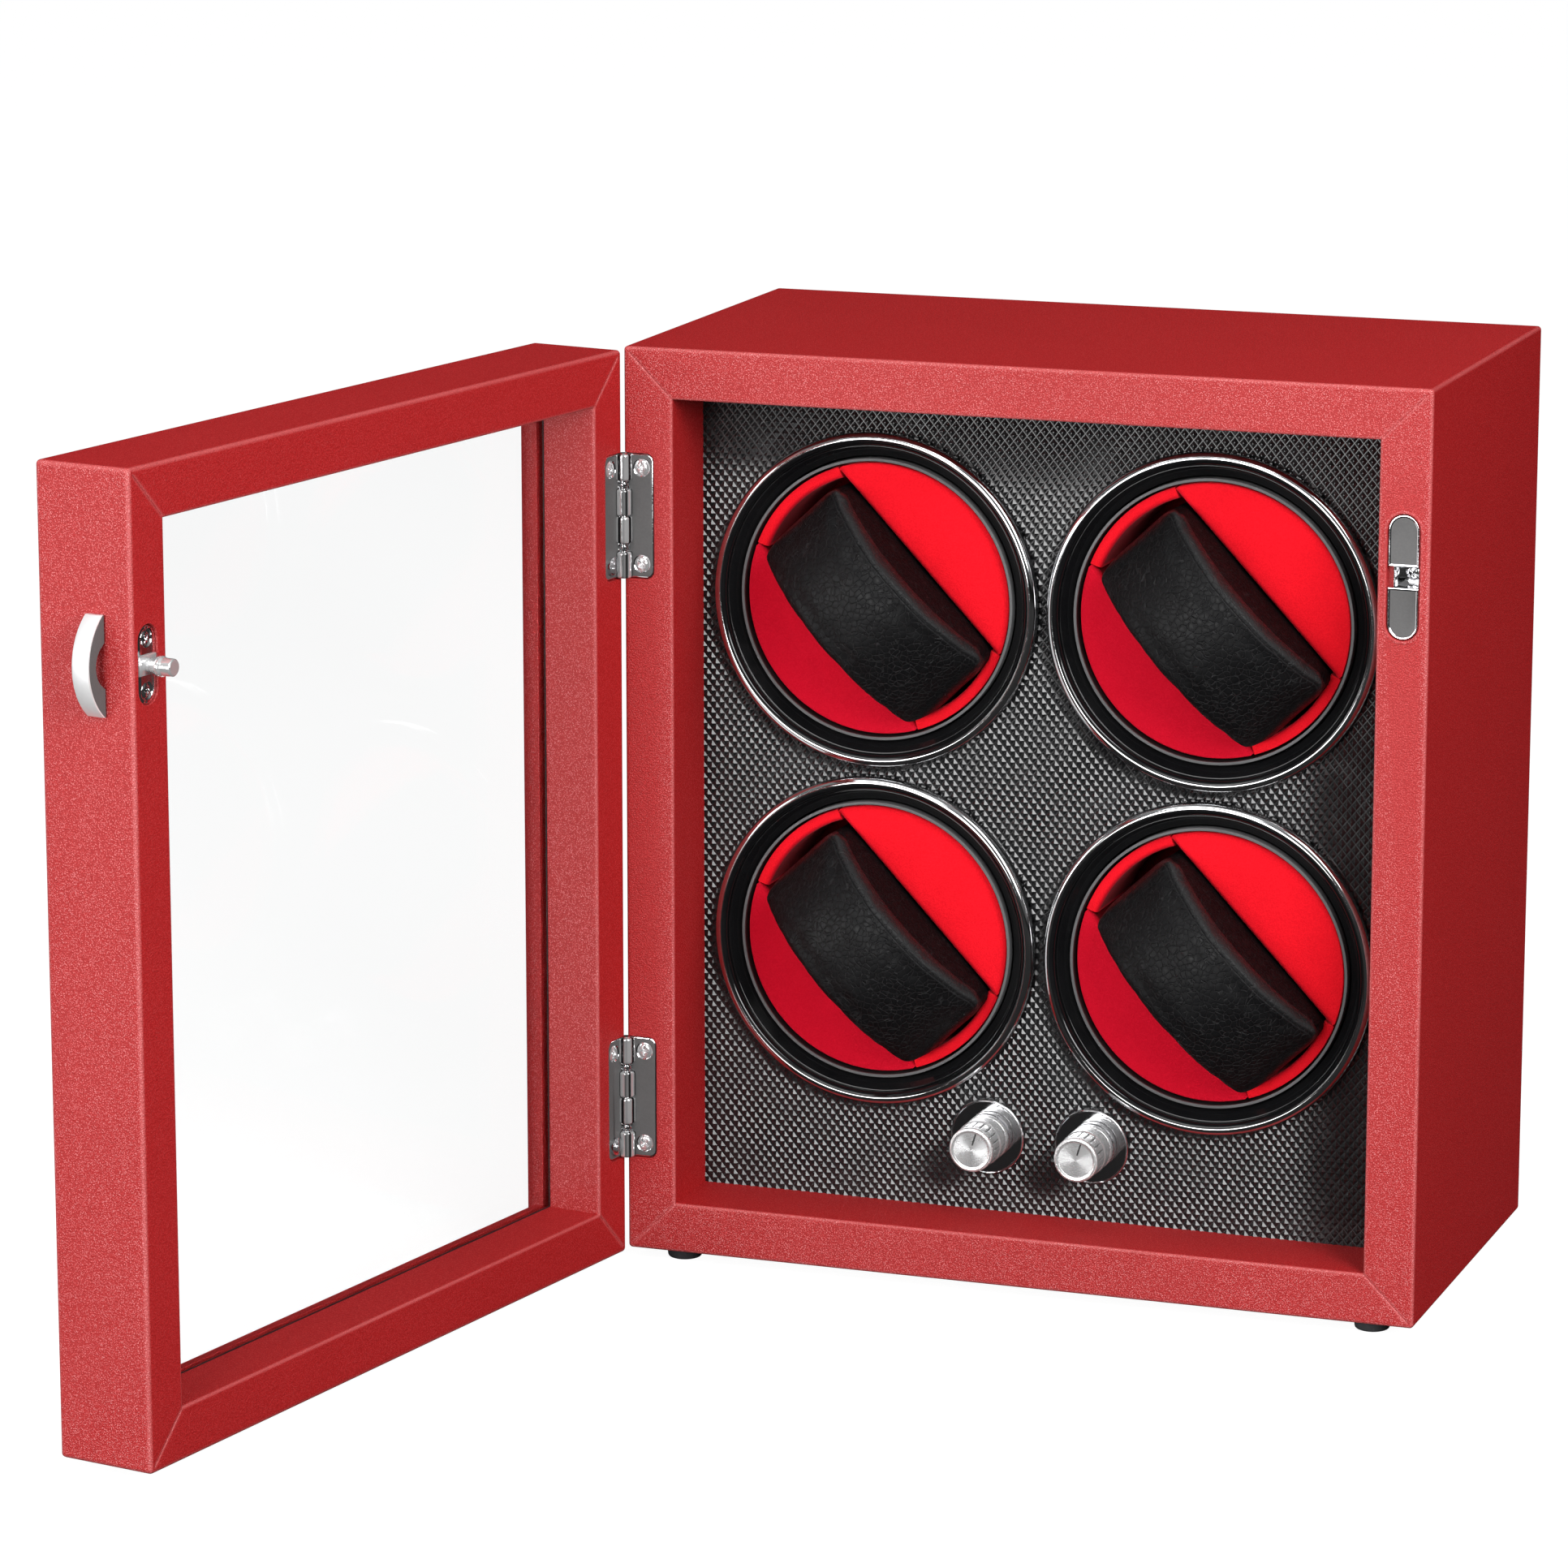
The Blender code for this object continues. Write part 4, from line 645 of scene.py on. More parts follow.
def rounded(path: Sequence[Sequence[float]], radii: Sequence[float], steps: int = 6) -> tuple[Array, Array]:
    """Rounds the corners of a path; the ends of an open path have radius 0.

    Corner b becomes (1-s)^2 a + 2s(1-s) b + s^2 c, with a and c one radius away along its two sides, and a guard
    point at 1.5 radii on each side.

    Args:
        path: corners, two numbers each.
        radii: one for each corner.
        steps: points on each rounded corner.

    Returns:
        The points, and a mark for each that is 1 in the middle of a rounded corner.
    """
    corner, reach = np.asarray(path, float), np.asarray(radii, float)[:, None]
    back, ahead = np.roll(corner, 1, 0) - corner, np.roll(corner, -1, 0) - corner
    back = back / np.linalg.norm(back, axis=1, keepdims=True) * reach
    ahead = ahead / np.linalg.norm(ahead, axis=1, keepdims=True) * reach
    s = np.linspace(0, 1, steps)[None, :, None]
    b = corner[:, None]
    curve = (1 - s) ** 2 * (b + back[:, None]) + 2 * s * (1 - s) * b + s**2 * (b + ahead[:, None])
    points = np.concatenate([b + 1.5 * back[:, None], curve, b + 1.5 * ahead[:, None]], 1)
    bend = np.concatenate([[0], 4 * s[0, :, 0] * (1 - s[0, :, 0]), [0]])
    return points.reshape(-1, 2), (bend[None] * (reach > 0.6)).reshape(-1)


def lathe(profile: Array, facets: int, centre: Step = (0.0, 0.0)) -> Array:
    """Spins a profile of (radius, along) about an axis along Y: (x + r cos a, along, z + r sin a)."""
    a = np.linspace(0, 2 * np.pi, facets, endpoint=False)
    r, along = np.asarray(profile, float)[:, :1], np.asarray(profile, float)[:, 1:]
    return np.stack([centre[0] + r * np.cos(a), along + 0 * a, centre[1] + r * np.sin(a)], -1)


def upright(grid: Array) -> Array:
    """Turns a lathed grid so that its axis is along Z: (x, y, z) becomes (x, z, y)."""
    return grid[..., [0, 2, 1]]


def stadium(width: float, length: float, grow: float = 0.0, steps: int = 14) -> Array:
    """Outline of an upright stadium: two half circles of radius width / 2 + grow, joined by straights."""
    a = np.linspace(0, np.pi, steps)
    r = width / 2 + grow
    top = np.stack([r * np.cos(a), (length - width) / 2 + r * np.sin(a)], -1)
    return np.concatenate([top, -top])


def boxed(low: Step, high: Step, radii: Sequence[float], grow: float = 0.0, steps: int = 7) -> Array:
    """Outline of a rectangle whose corners, from low left round, have their own radii, all grown outwards."""
    r = np.maximum(np.asarray(radii, float) + grow, 0.03)[:, None]
    a = np.linspace(0, np.pi / 2, steps)[None] + (np.pi + np.arange(4) * np.pi / 2)[:, None]
    x = np.array([low[0], high[0], high[0], low[0]])[:, None] + np.array([1, -1, -1, 1])[:, None] * (r - grow)
    z = np.array([low[1], low[1], high[1], high[1]])[:, None] + np.array([1, 1, -1, -1])[:, None] * (r - grow)
    return np.stack([x + r * np.cos(a), z + r * np.sin(a)], -1).reshape(-1, 2)


def stacked(outline: Callable[[float], Array], steps: Sequence[Step], centre: Step = (0.0, 0.0)) -> Array:
    """Carries an outline in x and z along Y: one ring for each step of (grow, y)."""
    rings = np.stack([outline(grow) for grow, _ in steps])
    y = np.broadcast_to(np.array([step[1] for step in steps], float)[:, None], rings.shape[:2])
    return np.stack([rings[..., 0] + centre[0], y, rings[..., 1] + centre[1]], -1)


def mitred(size: Step, section: Array, marks: Array, seams: Array, corner: float) -> tuple[Array, Array]:
    """Carries a section of (inset, y) points round an upright rectangle.

    A point's corners are arcs of radius max(corner - inset, 0), so the outside is round and the inside mitred. Near
    a mitre its y moves by seam * (0.7 exp(-(t / 0.28)^2) + 0.3 exp(-(t / 1.1)^2)), t being the way to the mitre.

    Args:
        size: width and height of the rectangle.
        section: the section's points.
        marks: each point's edge mark, where the leather paints a highlight.
        seams: each point's seam depth in y, 0 where no mitre shows.
        corner: radius of the outside corners.

    Returns:
        The grid of points, section by loop, and its marks.
    """
    inset = section[:, 0][:, None]
    middle, bend = np.maximum(inset, corner), np.maximum(corner - inset, 0.0)
    near = np.array([0.12, 0.25, 0.4, 0.7, 1.4, 3.0, 12.0, 40.0])
    arc = np.linspace(0, np.pi / 2, 6)
    xs, zs = [], []
    for k in range(4):
        first = np.pi + k * np.pi / 2
        x = (middle if k in (0, 3) else size[0] - middle) + bend * np.cos(first + arc)
        z = (middle if k in (0, 1) else size[1] - middle) + bend * np.sin(first + arc)
        xs += [x[:, :1] + np.sin(first) * near[::-1], x, x[:, -1:] - np.cos(first) * near]
        zs += [z[:, :1] - np.cos(first) * near[::-1], z, z[:, -1:] - np.sin(first) * near]
    way = np.tile(np.concatenate([near[::-1], np.zeros(len(arc)), near]), 4)[None]
    bow = np.tile(np.concatenate([near * 0, np.sin(2 * arc), near * 0]), 4)[None]
    dip = 0.7 * np.exp(-((way / 0.28) ** 2)) + 0.3 * np.exp(-((way / 1.1) ** 2))
    y = section[:, 1][:, None] + seams[:, None] * dip
    # Painted highlights: marks rise beside the mitre seams and round the outer corners.
    seam_mark = (seams != 0)[:, None] * np.exp(-(((way - 0.4) / 0.35) ** 2))
    mark = np.maximum(np.maximum(marks[:, None], bow * bend / corner), seam_mark)
    return np.stack([np.concatenate(xs, 1), y, np.concatenate(zs, 1)], -1), mark


def screw(radius: float, dome: float, turn: float, facing: float) -> tuple[Array, list[list[int]]]:
    """A cross head screw about the origin, its head facing along Y.

    Args:
        radius: of the head.
        dome: height of the head's crown.
        turn: of its cross, in degrees.
        facing: 1 or -1, the way the head faces.

    Returns:
        Its points and faces.
    """
    profile, _ = rounded(
        [(0, -dome), (radius * 0.7, -dome * 0.75), (radius, 0), (radius * 0.5, 0.9), (0, 0.9)], [0, 0.4, 0.1, 0, 0],
        4,
    )
    head = Skin().grid(lathe(profile, 28)).make("screw_head", Seat((0, 0, 0)))
    wide, long, deep = radius * 0.17, radius * 0.62, dome + 0.1
    slots = []
    for a in (turn, turn + 90.0):
        steps = [(0.0, -deep - 0.4), (0.0, -dome * 0.5), (-0.1, 0.1), (-wide * 0.9, 0.45)]
        arm = stacked(lambda grow: boxed((-long, -wide), (long, wide), (0.05,) * 4, grow, 2), steps)
        slots.append(Skin().solid(arm).make("screw_slot", Seat((0, 0, 0), "Y", a)))
    carve(head, slots)
    mesh = head.data
    points = np.empty(len(mesh.vertices) * 3)
    mesh.vertices.foreach_get("co", points)
    faces = [list(face.vertices) for face in mesh.polygons]
    bpy.data.meshes.remove(mesh)
    return points.reshape(-1, 3) / MM * np.array([1.0, -facing, 1.0]), faces


@dataclass
class Cabinet:
    """The leather carcass with its back, embossed panel, power inlet and feet."""

    width: float = 250.0
    height: float = 282.0
    depth: float = 135.0
    board: float = 15.6
    edge: float = 1.2
    panel_front: float = PANEL_FRONT
    panel_seat: float = 12.6
    ledge: float = 129.0
    back_seat: float = 7.6
    front: float = -0.4
    seam: float = 0.28
    cell_width: float = 2.8
    cell_height: float = 3.45
    cell_rise: float = 0.6
    valley: float = 0.055
    peak: float = 0.075
    foot_radius: float = 5.5

    def shell(self, cutters: Sequence[bpy.types.Object]) -> None:
        """Four boards in one leather cover, with the seats of hinges and keep cut out."""
        shoulder = self.panel_front - 0.3
        path = [
            (0, self.front), (self.board, self.front), (self.board, shoulder), (self.panel_seat, shoulder),
            (self.panel_seat, self.ledge), (self.back_seat, self.ledge), (self.back_seat, self.depth), (0, self.depth),
        ]
        section, marks = rounded(path, [self.edge, 1.0, 0, 0, 0, 0, 0.6, self.edge])
        flat = (section[:, 1] < self.front + 0.02) & (section[:, 0] > self.edge * 1.2)
        grid, mark = mitred((self.width, self.height), section, marks, np.where(flat, self.seam, 0.0), self.edge)
        item = Skin().grid(grid, rows_meet=True, mark=mark).make("cabinet_leather", CABINET_SEAT, [RED_LEATHER])
        dress(carve(item, cutters), "cabinet", Slot.LEATHER, "cabinet_shell")

    def cover(self, tables: Sequence[Step], dials: Sequence[Step], ring: float, disc: float) -> None:
        """Embossed cover: blunt pyramids on a diamond lattice, left out under bezels and dials.

        Pyramid (i, j) stands between i e1 + j e2 and the next lattice lines, with e1 and e2 half a cell across and
        half a cell up or down. Its base keeps a flat valley to its neighbours and its top a small flat.
        """
        a, b = self.cell_width / 2, self.cell_height / 2
        inset = self.board - 1.2
        reach = int((self.width / a + self.height / b) / 2) + 2
        i, j = np.meshgrid(np.arange(reach), np.arange(-reach, reach), indexing="ij")
        x, z = a * (i + j + 1), b * (i - j)
        keep = (x > inset) & (x < self.width - inset) & (z > inset) & (z < self.height - inset)
        for centre, radius in [(t, ring) for t in tables] + [(d, disc) for d in dials]:
            keep &= np.hypot(x - centre[0], z - centre[1]) > radius
        number = np.where(keep, np.cumsum(keep.ravel()).reshape(keep.shape) - 1, -1)
        low, top = self.valley, 0.5 - self.peak
        s = np.array([low, 1 - low, 1 - low, low, top, 1 - top, 1 - top, top])
        t = np.array([low, low, 1 - low, 1 - low, top, top, 1 - top, 1 - top])
        up = np.array([0.0] * 4 + [self.cell_rise] * 4)
        across, along = i[keep][:, None] + s, j[keep][:, None] + t
        y = self.panel_front - 0.05 - up + 0 * across
        points = np.stack([a * (across + along), y, b * (across - along)], -1)
        each = np.array([[0, 4, 5, 1], [1, 5, 6, 2], [2, 6, 7, 3], [3, 7, 4, 0], [4, 7, 6, 5]])
        quads = [(np.arange(len(points))[:, None, None] * 8 + each).reshape(-1, 4)]
        here, right = number[:-1, :-1] * 8, number[1:, :-1] * 8
        ahead, both = number[:-1, 1:] * 8, number[1:, 1:] * 8
        strips = [((here, right), [here + 1, here + 2, right + 3, right + 0])]
        strips.append(((here, ahead), [here + 3, ahead + 0, ahead + 1, here + 2]))
        strips.append(((here, right, ahead, both), [here + 2, ahead + 1, both + 0, right + 3]))
        for owners, corners in strips:
            there = np.all([owner >= 0 for owner in owners], axis=0)
            quads.append(np.stack([corner[there] for corner in corners], -1))
        skin = Skin().body(points, np.concatenate(quads).tolist())
        item = skin.make("panel_cover", CABINET_SEAT, [PANEL_BLACK], sharp=5.0, sheet=True)
        dress(item, "cabinet", Slot.PANEL)
        redress("front_panel", PANEL_BLACK)

    def inlet(self) -> None:
        """Round power inlet: a rimmed flange, a socket and the pin in it."""
        low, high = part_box("power_inlet")
        seat = Seat(((low.x + high.x) / 2, high.y, (low.z + high.z) / 2))
        length = (high.y - low.y) / MM
        path = [
            (0, -length), (5.2, -length), (5.2, -0.8), (7.5, -0.8), (7.5, 0), (5.6, 0), (5.2, -0.3), (3.4, -0.3),
            (2.9, -0.5), (2.9, -6.8), (0, -6.8),
        ]
        profile, _ = rounded(path, [0, 0.3, 0, 0.2, 0.3, 0.15, 0.1, 0.15, 0.1, 0, 0], 4)
        pin, _ = rounded([(1.0, -6.9), (1.0, -2.0), (0.0, -2.0)], [0, 0.3, 0], 4)
        skin = Skin().grid(lathe(profile, 48)).grid(lathe(pin, 24), band=1)
        dress(skin.make("power_socket", seat, [CUP_BLACK, CHROME]), "cabinet", Slot.DIAL, "power_inlet")

    def feet(self) -> None:
        """Four turned rubber feet with a rounded sole and a waist under the board."""
        for name in ("front_left", "front_right", "rear_left", "rear_right"):
            low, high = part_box(f"foot_{name}")
            seat = Seat(((low.x + high.x) / 2, (low.y + high.y) / 2, low.z))
            tall, r = (high.z - low.z) / MM, self.foot_radius
            profile, _ = rounded(
                [(0, 0.25), (r * 0.5, 0.25), (r * 0.6, 0), (r * 0.96, 0), (r, tall - 0.5), (r * 0.94, tall), (0, tall)],
                [0, 0.2, 0.2, 1.1, 0.5, 0.2, 0],
            )
            skin = Skin().grid(upright(lathe(profile, 48)))
            dress(skin.make(f"rubber_foot_{name}", seat, [RUBBER]), "cabinet", Slot.RUBBER, f"foot_{name}")


@dataclass
class Door:
    """The leather door frame, its glass and the gasket round it, built closed and turned open."""

    width: float = 250.0
    height: float = 282.0
    drop: float = 1.1
    board: float = 15.6
    edge: float = 1.35
    inner: float = -0.4
    outer: float = -31.5
    groove: Step = (-18.6, -21.9)
    groove_floor: float = 11.6
    lip: float = 9.3
    seam: float = 0.28

    def frame_piece(self, cutters: Sequence[bpy.types.Object]) -> None:
        """Leather frame with a rounded lip behind the glass and the seats of its fittings cut out."""
        a = np.linspace(0, np.pi / 2, 9)[1:-1]
        near, far = self.groove
        bow = [(self.board - self.lip + self.lip * np.cos(t), self.outer + self.lip - self.lip * np.sin(t)) for t in a]
        path = [
            (0, self.inner), (self.board, self.inner), (self.board, near), (self.groove_floor, near),
            (self.groove_floor, far), (self.board, far), (self.board, self.outer + self.lip), *bow,
            (self.board - self.lip, self.outer), (0, self.outer),
        ]
        radii = [self.edge, 1.0, 0.5, 0, 0, 0.25] + [0] * (len(bow) + 2) + [self.edge]
        section, marks = rounded(path, radii)
        wide = section[:, 0] > self.edge * 1.2
        seams = np.where(wide & (section[:, 1] > self.inner - 0.02), -self.seam, 0.0)
        seams += np.where(wide & (section[:, 1] < self.outer + 0.02), self.seam, 0.0)
        grid, mark = mitred((self.width, self.height), section, marks, seams, self.edge)
        seat = DOOR_SEAT.moved(0, 0, -self.drop)
        item = Skin().grid(grid, rows_meet=True, mark=mark).make("door_leather", seat, [RED_LEATHER])
        dress(carve(item, cutters), "door", Slot.LEATHER, "door_frame")

    def glazing(self) -> None:
        """Glass pane, and a thin black gasket where it meets the frame."""
        redress("door_glass", GLASS)
        near = self.groove[0]
        section, marks = rounded(
            [
                (self.board - 0.5, near + 0.15), (self.board + 0.25, near + 0.15), (self.board + 0.25, near - 0.12),
                (self.board - 0.5, near - 0.12),
            ],
            [0.0, 0.1, 0.1, 0.0], 3,
        )
        grid, _ = mitred((self.width, self.height), section, marks * 0, marks * 0, self.edge)
        seat = DOOR_SEAT.moved(0, 0, -self.drop)
        item = Skin().grid(grid, rows_meet=True).make("glass_gasket", seat, [CUP_BLACK])
        dress(item, "door", Slot.RUBBER)


@dataclass
class Hinge:
    """A box hinge: two let-in leaves with countersunk screws, four knuckles and a stepped pin."""

    level: Level
    tall: float = 38.0
    leaf: float = 9.4
    thick: float = 1.2
    corner: float = 2.4
    gap: float = 1.0
    knuckle: float = 2.7
    pin: float = 1.4
    screw_inset: float = 4.3
    screw_radius: float = 2.55
    bands: ClassVar[dict[str, tuple[Step, Step]]] = {
        "cabinet": ((-19.0, -10.9), (0.15, 8.25)),
        "door": ((-8.25, -0.15), (10.9, 19.0)),
    }

    def __post_init__(self) -> None:
        """Finds the hinge's middle from its CAD pin."""
        low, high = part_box(f"hinge_pin_{self.level.value}")
        self.middle = ((low.z + high.z) / 2 - CABINET_SEAT.origin[2]) / MM
        self.seats = {
            "cabinet": CABINET_SEAT.moved(0, HINGE_LINE, self.middle), "door": DOOR_SEAT.moved(0, 0, self.middle),
        }

    def outline(self, grow: float) -> Array:
        """A leaf's outline, rounded at its two outer corners."""
        return boxed((1.2, -self.tall / 2), (self.leaf, self.tall / 2), (0, self.corner, self.corner, 0), grow)

    def cutter(self, owner: str) -> list[bpy.types.Object]:
        """The leaf's seat and the knuckles' room, to cut out of a frame."""
        sign = 1.0 if owner == "cabinet" else -1.0
        leaf = stacked(self.outline, [(0.3, sign * (self.gap - 3.0)), (0.3, sign * (self.gap + self.thick + 0.3))])
        room = np.array([(3.0, -self.tall / 2 - 0.3), (3.0, self.tall / 2 + 0.3)])
        seat = self.seats[owner]
        return [
            Skin().solid(leaf).make("leaf_seat", seat),
            Skin().solid(upright(lathe(room, 40))).make("knuckle_room", seat),
        ]

    def screw_places(self) -> list[Step]:
        """The screws' middles in a leaf."""
        x = self.leaf - self.screw_inset + 0.4
        return [(x, self.tall / 2 - self.screw_inset), (x, self.screw_inset - self.tall / 2)]

    def leaf_piece(self, owner: str) -> None:
        """A leaf with bevelled edge and dished screw holes, its two knuckles and their webs, then its screws."""
        sign = 1.0 if owner == "cabinet" else -1.0
        face, back = sign * self.gap, sign * (self.gap + self.thick)
        steps = [
            (-0.1, back), (0.0, back - sign * 0.1), (0.0, face + sign * 0.35), (-0.12, face + sign * 0.1),
            (-0.4, face),
        ]
        rings = stacked(self.outline, steps)
        ring = list(range(rings.shape[1]))
        skin = Skin().grid(rings).body(rings[0], [ring]).body(rings[-1], [ring], band=1)
        plate = skin.make(f"hinge_{owner}_leaf_{self.level.value}", self.seats[owner], [CHROME, PLATE_GREY])
        dishes = []
        for x, z in self.screw_places():
            dish = [
                (0, face - sign), (2.75, face - sign), (2.75, face), (2.3, face + sign * 0.45),
                (1.2, face + sign * 0.9), (0, face + sign * 0.9),
            ]
            dishes.append(Skin().grid(lathe(np.array(dish), 32, (x, z))).make("dish", self.seats[owner]))
        carve(plate, dishes, 30.0)
        dress(plate, owner, Slot.CHROME, f"hinge_leaf_{owner}_{self.level.value}")
        barrel = Skin()
        for low, high in self.bands[owner]:
            path = [
                (0.8, low + 0.1), (self.knuckle - 0.4, low), (self.knuckle, low + 0.4), (self.knuckle, high - 0.4),
                (self.knuckle - 0.4, high), (0.8, high - 0.1),
            ]
            profile, _ = rounded(path, [0, 0.15, 0.3, 0.3, 0.15, 0], 4)
            tube = upright(lathe(np.concatenate([profile, profile[:1]]), 72))
            a = np.linspace(0, 2 * np.pi, 72, endpoint=False)
            # Painted reflections: dark bands round each knuckle stand in for the dark things it mirrors.
            painted_reflection_bands = np.clip(1.3 * np.sin(5 * a + 0.6) + 0.9 * np.sin(9 * a + 2.0), 0.0, 1.0)
            barrel.grid(tube, mark=np.broadcast_to(painted_reflection_bands, tube.shape[:2]))
            web = [(0.0, sign * (self.gap + 0.05)), (0.0, sign * (self.gap + self.thick - 0.1))]
            barrel.solid(stacked(lambda grow: boxed((0.6, low + 0.2), (2.8, high - 0.2), (0.1,) * 4, grow, 3), web))
        knuckles = barrel.make(f"hinge_{owner}_knuckles_{self.level.value}", self.seats[owner], [POLISHED])
        dress(knuckles, owner, Slot.CHROME)
        for number, (x, z) in enumerate(self.screw_places()):
            points, faces = screw(self.screw_radius, 0.55, 20.0 + 37.0 * number + 11.0 * len(owner), -sign)
            points = points + np.array([x, face + sign * 0.42, z])
            name = f"hinge_screw_{owner}_{self.level.value}_{number + 1}"
            dress(Skin().body(points, faces).make(name, self.seats[owner], [POLISHED]), owner, Slot.CHROME)

    def pin_piece(self) -> None:
        """The pin: a rod through the knuckles with collars in the two gaps and round ends."""
        half, r = self.tall / 2, self.pin
        path = [
            (0, -half - 0.25), (r * 0.8, -half - 0.2), (r, -half + 0.2), (r, -10.2), (1.9, -10.0), (1.9, -9.2),
            (r, -9.0), (r, 9.0), (1.9, 9.2), (1.9, 10.0), (r, 10.2), (r, half - 0.2), (r * 0.8, half + 0.2),
            (0, half + 0.25),
        ]
        profile, _ = rounded(path, [0] + [0.12] * 12 + [0], 3)
        skin = Skin().grid(upright(lathe(profile, 40)))
        item = skin.make(f"hinge_rod_{self.level.value}", self.seats["cabinet"], [CHROME])
        dress(item, "cabinet", Slot.CHROME, f"hinge_pin_{self.level.value}")


@dataclass
class Catch:
    """The stud plate and handle on the door, and the keep on the cabinet."""

    along: float = 242.9
    keep_along: float = 242.05
    up: float = 226.4
    plate: Step = (8.7, 22.0)
    thick: float = 1.2
    screw_gap: float = 7.2
    keep: Step = (9.4, 37.0)
    opening: float = 3.0
    pad_thick: float = 1.6
    channel: Step = (239.05, 246.75)
    pocket: float = 9.4

    def __post_init__(self) -> None:
        """Places the stud plate and the keep in their frames."""
        self.door_seat = DOOR_SEAT.moved(self.along, -1.0, self.up)
        self.cabinet_seat = CABINET_SEAT.moved(0, 0, self.up)

    def plate_outline(self, grow: float) -> Array:
        """The stud plate's outline."""
        return stadium(*self.plate, grow)

    def door_cutter(self) -> bpy.types.Object:
        """The stud plate's seat in the door."""
        seat = stacked(self.plate_outline, [(0.3, 3.0), (0.3, -self.thick - 0.3)])
        return Skin().solid(seat).make("plate_seat", self.door_seat)

    def cabinet_cutters(self) -> list[bpy.types.Object]:
        """The pads' seat and the channel's pocket in the cabinet."""
        centre = (self.keep_along, 0.0)
        pads = stacked(lambda grow: stadium(*self.keep, grow), [(0.3, -3.0), (0.3, self.pad_thick + 0.3)], centre)
        low, high = (self.channel[0] - 0.3, -self.opening - 0.7), (self.channel[1] + 0.3, self.opening + 0.7)
        hole = stacked(lambda grow: boxed(low, high, (0.2,) * 4, grow, 3), [(0.0, -3.0), (0.0, self.pocket + 1.3)])
        return [
            Skin().solid(pads).make("pad_seat", self.cabinet_seat),
            Skin().solid(hole).make("pocket", self.cabinet_seat),
        ]

    @staticmethod
    def lip(name: str, outline: Callable[[float], Array], centre: Step, facing: float, seat: Seat, body: str) -> None:
        """Rolled leather edge round a let-in plate: a low swell that dives beside the plate."""
        steps = [
            (1.6, -0.2), (1.2, -0.45), (0.9, -0.58), (0.6, -0.6), (0.35, -0.5), (0.22, -0.2), (0.2, 0.9), (1.6, 0.9),
        ]
        grid = stacked(outline, [(grow, facing * -y) for grow, y in steps], centre)
        # Painted highlight: the whole rolled edge carries a light mark.
        item = Skin().grid(grid, rows_meet=True, mark=0.25).make(name, seat, [RED_LEATHER], sharp=60.0)
        dress(item, body, Slot.LEATHER)

    def stud_plate(self) -> None:
        """Plate with bevelled edge and dished screws, a raised band across it and the turned stud."""
        steps = [(-0.1, -self.thick), (0.0, -self.thick + 0.1), (0.0, -0.45), (-0.15, -0.15), (-0.5, 0.0)]
        plate = Skin().solid(stacked(self.plate_outline, steps)).make("latch_plate", self.door_seat, [CHROME])
        dishes = []
        for z in (-self.screw_gap, self.screw_gap):
            dish = np.array([(0, 1.0), (2.7, 1.0), (2.6, 0.0), (2.0, -0.5), (1.0, -0.8), (0, -0.8)])
            dishes.append(Skin().grid(lathe(dish, 32, (0, z))).make("dish", self.door_seat))
        dress(carve(plate, dishes, 30.0), "door", Slot.CHROME, "latch_stud")
        band = stacked(
            lambda grow: boxed((-4.1, -2.9), (4.1, 2.9), (0.5,) * 4, grow, 4),
            [(0.0, -0.4), (0.0, 0.25), (-0.15, 0.5), (-0.45, 0.6)],
        )
        path = [
            (1.9, 0.3), (1.9, 2.0), (2.0, 2.2), (2.9, 4.6), (2.9, 5.4), (2.5, 6.1), (2.5, 9.0), (2.1, 9.3),
            (0.0, 9.3),
        ]
        profile, _ = rounded(path, [0, 0.1, 0.1, 0.15, 0.15, 0.15, 0.2, 0.15, 0], 4)
        skin = Skin().solid(band).grid(lathe(profile, 48))
        dress(skin.make("latch_pin", self.door_seat, [POLISHED]), "door", Slot.CHROME)
        for name, z, turn in (("lower", -self.screw_gap, 12.0), ("upper", self.screw_gap, 50.0)):
            points, faces = screw(2.1, 0.5, turn, 1.0)
            points = points + np.array([0.0, -0.42, z])
            item = Skin().body(points, faces).make(f"latch_crosshead_{name}", self.door_seat, [CHROME])
            dress(item, "door", Slot.CHROME, f"latch_screw_{name}")
        self.lip("latch_lip", self.plate_outline, (0.0, 0.0), 1.0, self.door_seat, "door")

    def keep_piece(self) -> None:
        """Two satin pads with polished rims, and a bright channel with a screw in its floor between them."""
        half, r = self.keep[1] / 2, self.keep[0] / 2
        left, right = self.keep_along - r, self.keep_along + r
        skin = Skin()
        for low, high, radii in ((-half, -self.opening, (r, r, 0.3, 0.3)), (self.opening, half, (0.3, 0.3, r, r))):
            shape = lambda grow: boxed((left, low), (right, high), radii, grow, 12)
            rim = [
                (-0.3, self.pad_thick), (0.0, self.pad_thick - 0.2), (0.0, 0.3), (-0.2, 0.0), (-0.45, -0.05),
                (-0.75, 0.05),
            ]
            grid = stacked(shape, rim)
            skin.grid(grid).body(grid[0], [list(range(grid.shape[1]))])
            face = stacked(shape, [(-0.75, 0.05), (-0.85, 0.12)])
            skin.grid(face).body(face[-1], [list(range(face.shape[1]))], band=1)
        a, b = self.channel
        z, deep = self.opening + 0.4, self.pocket
        outer = stacked(
            lambda grow: boxed((a, -z), (b, z), (0.4,) * 4, grow, 4),
            [(0.0, deep + 1.0), (0.0, 0.5), (-0.1, 0.25), (-0.25, 0.25), (-0.3, 0.45), (-0.3, deep)],
        )
        skin.solid(outer)
        item = skin.make("keep_plate", self.cabinet_seat, [CHROME, PLATE_GREY])
        dress(item, "cabinet", Slot.CHROME, "catch_keep")
        points, faces = screw(2.4, 0.7, 28.0, -1.0)
        points = points + np.array([self.along, self.pocket - 0.1, 0.0])
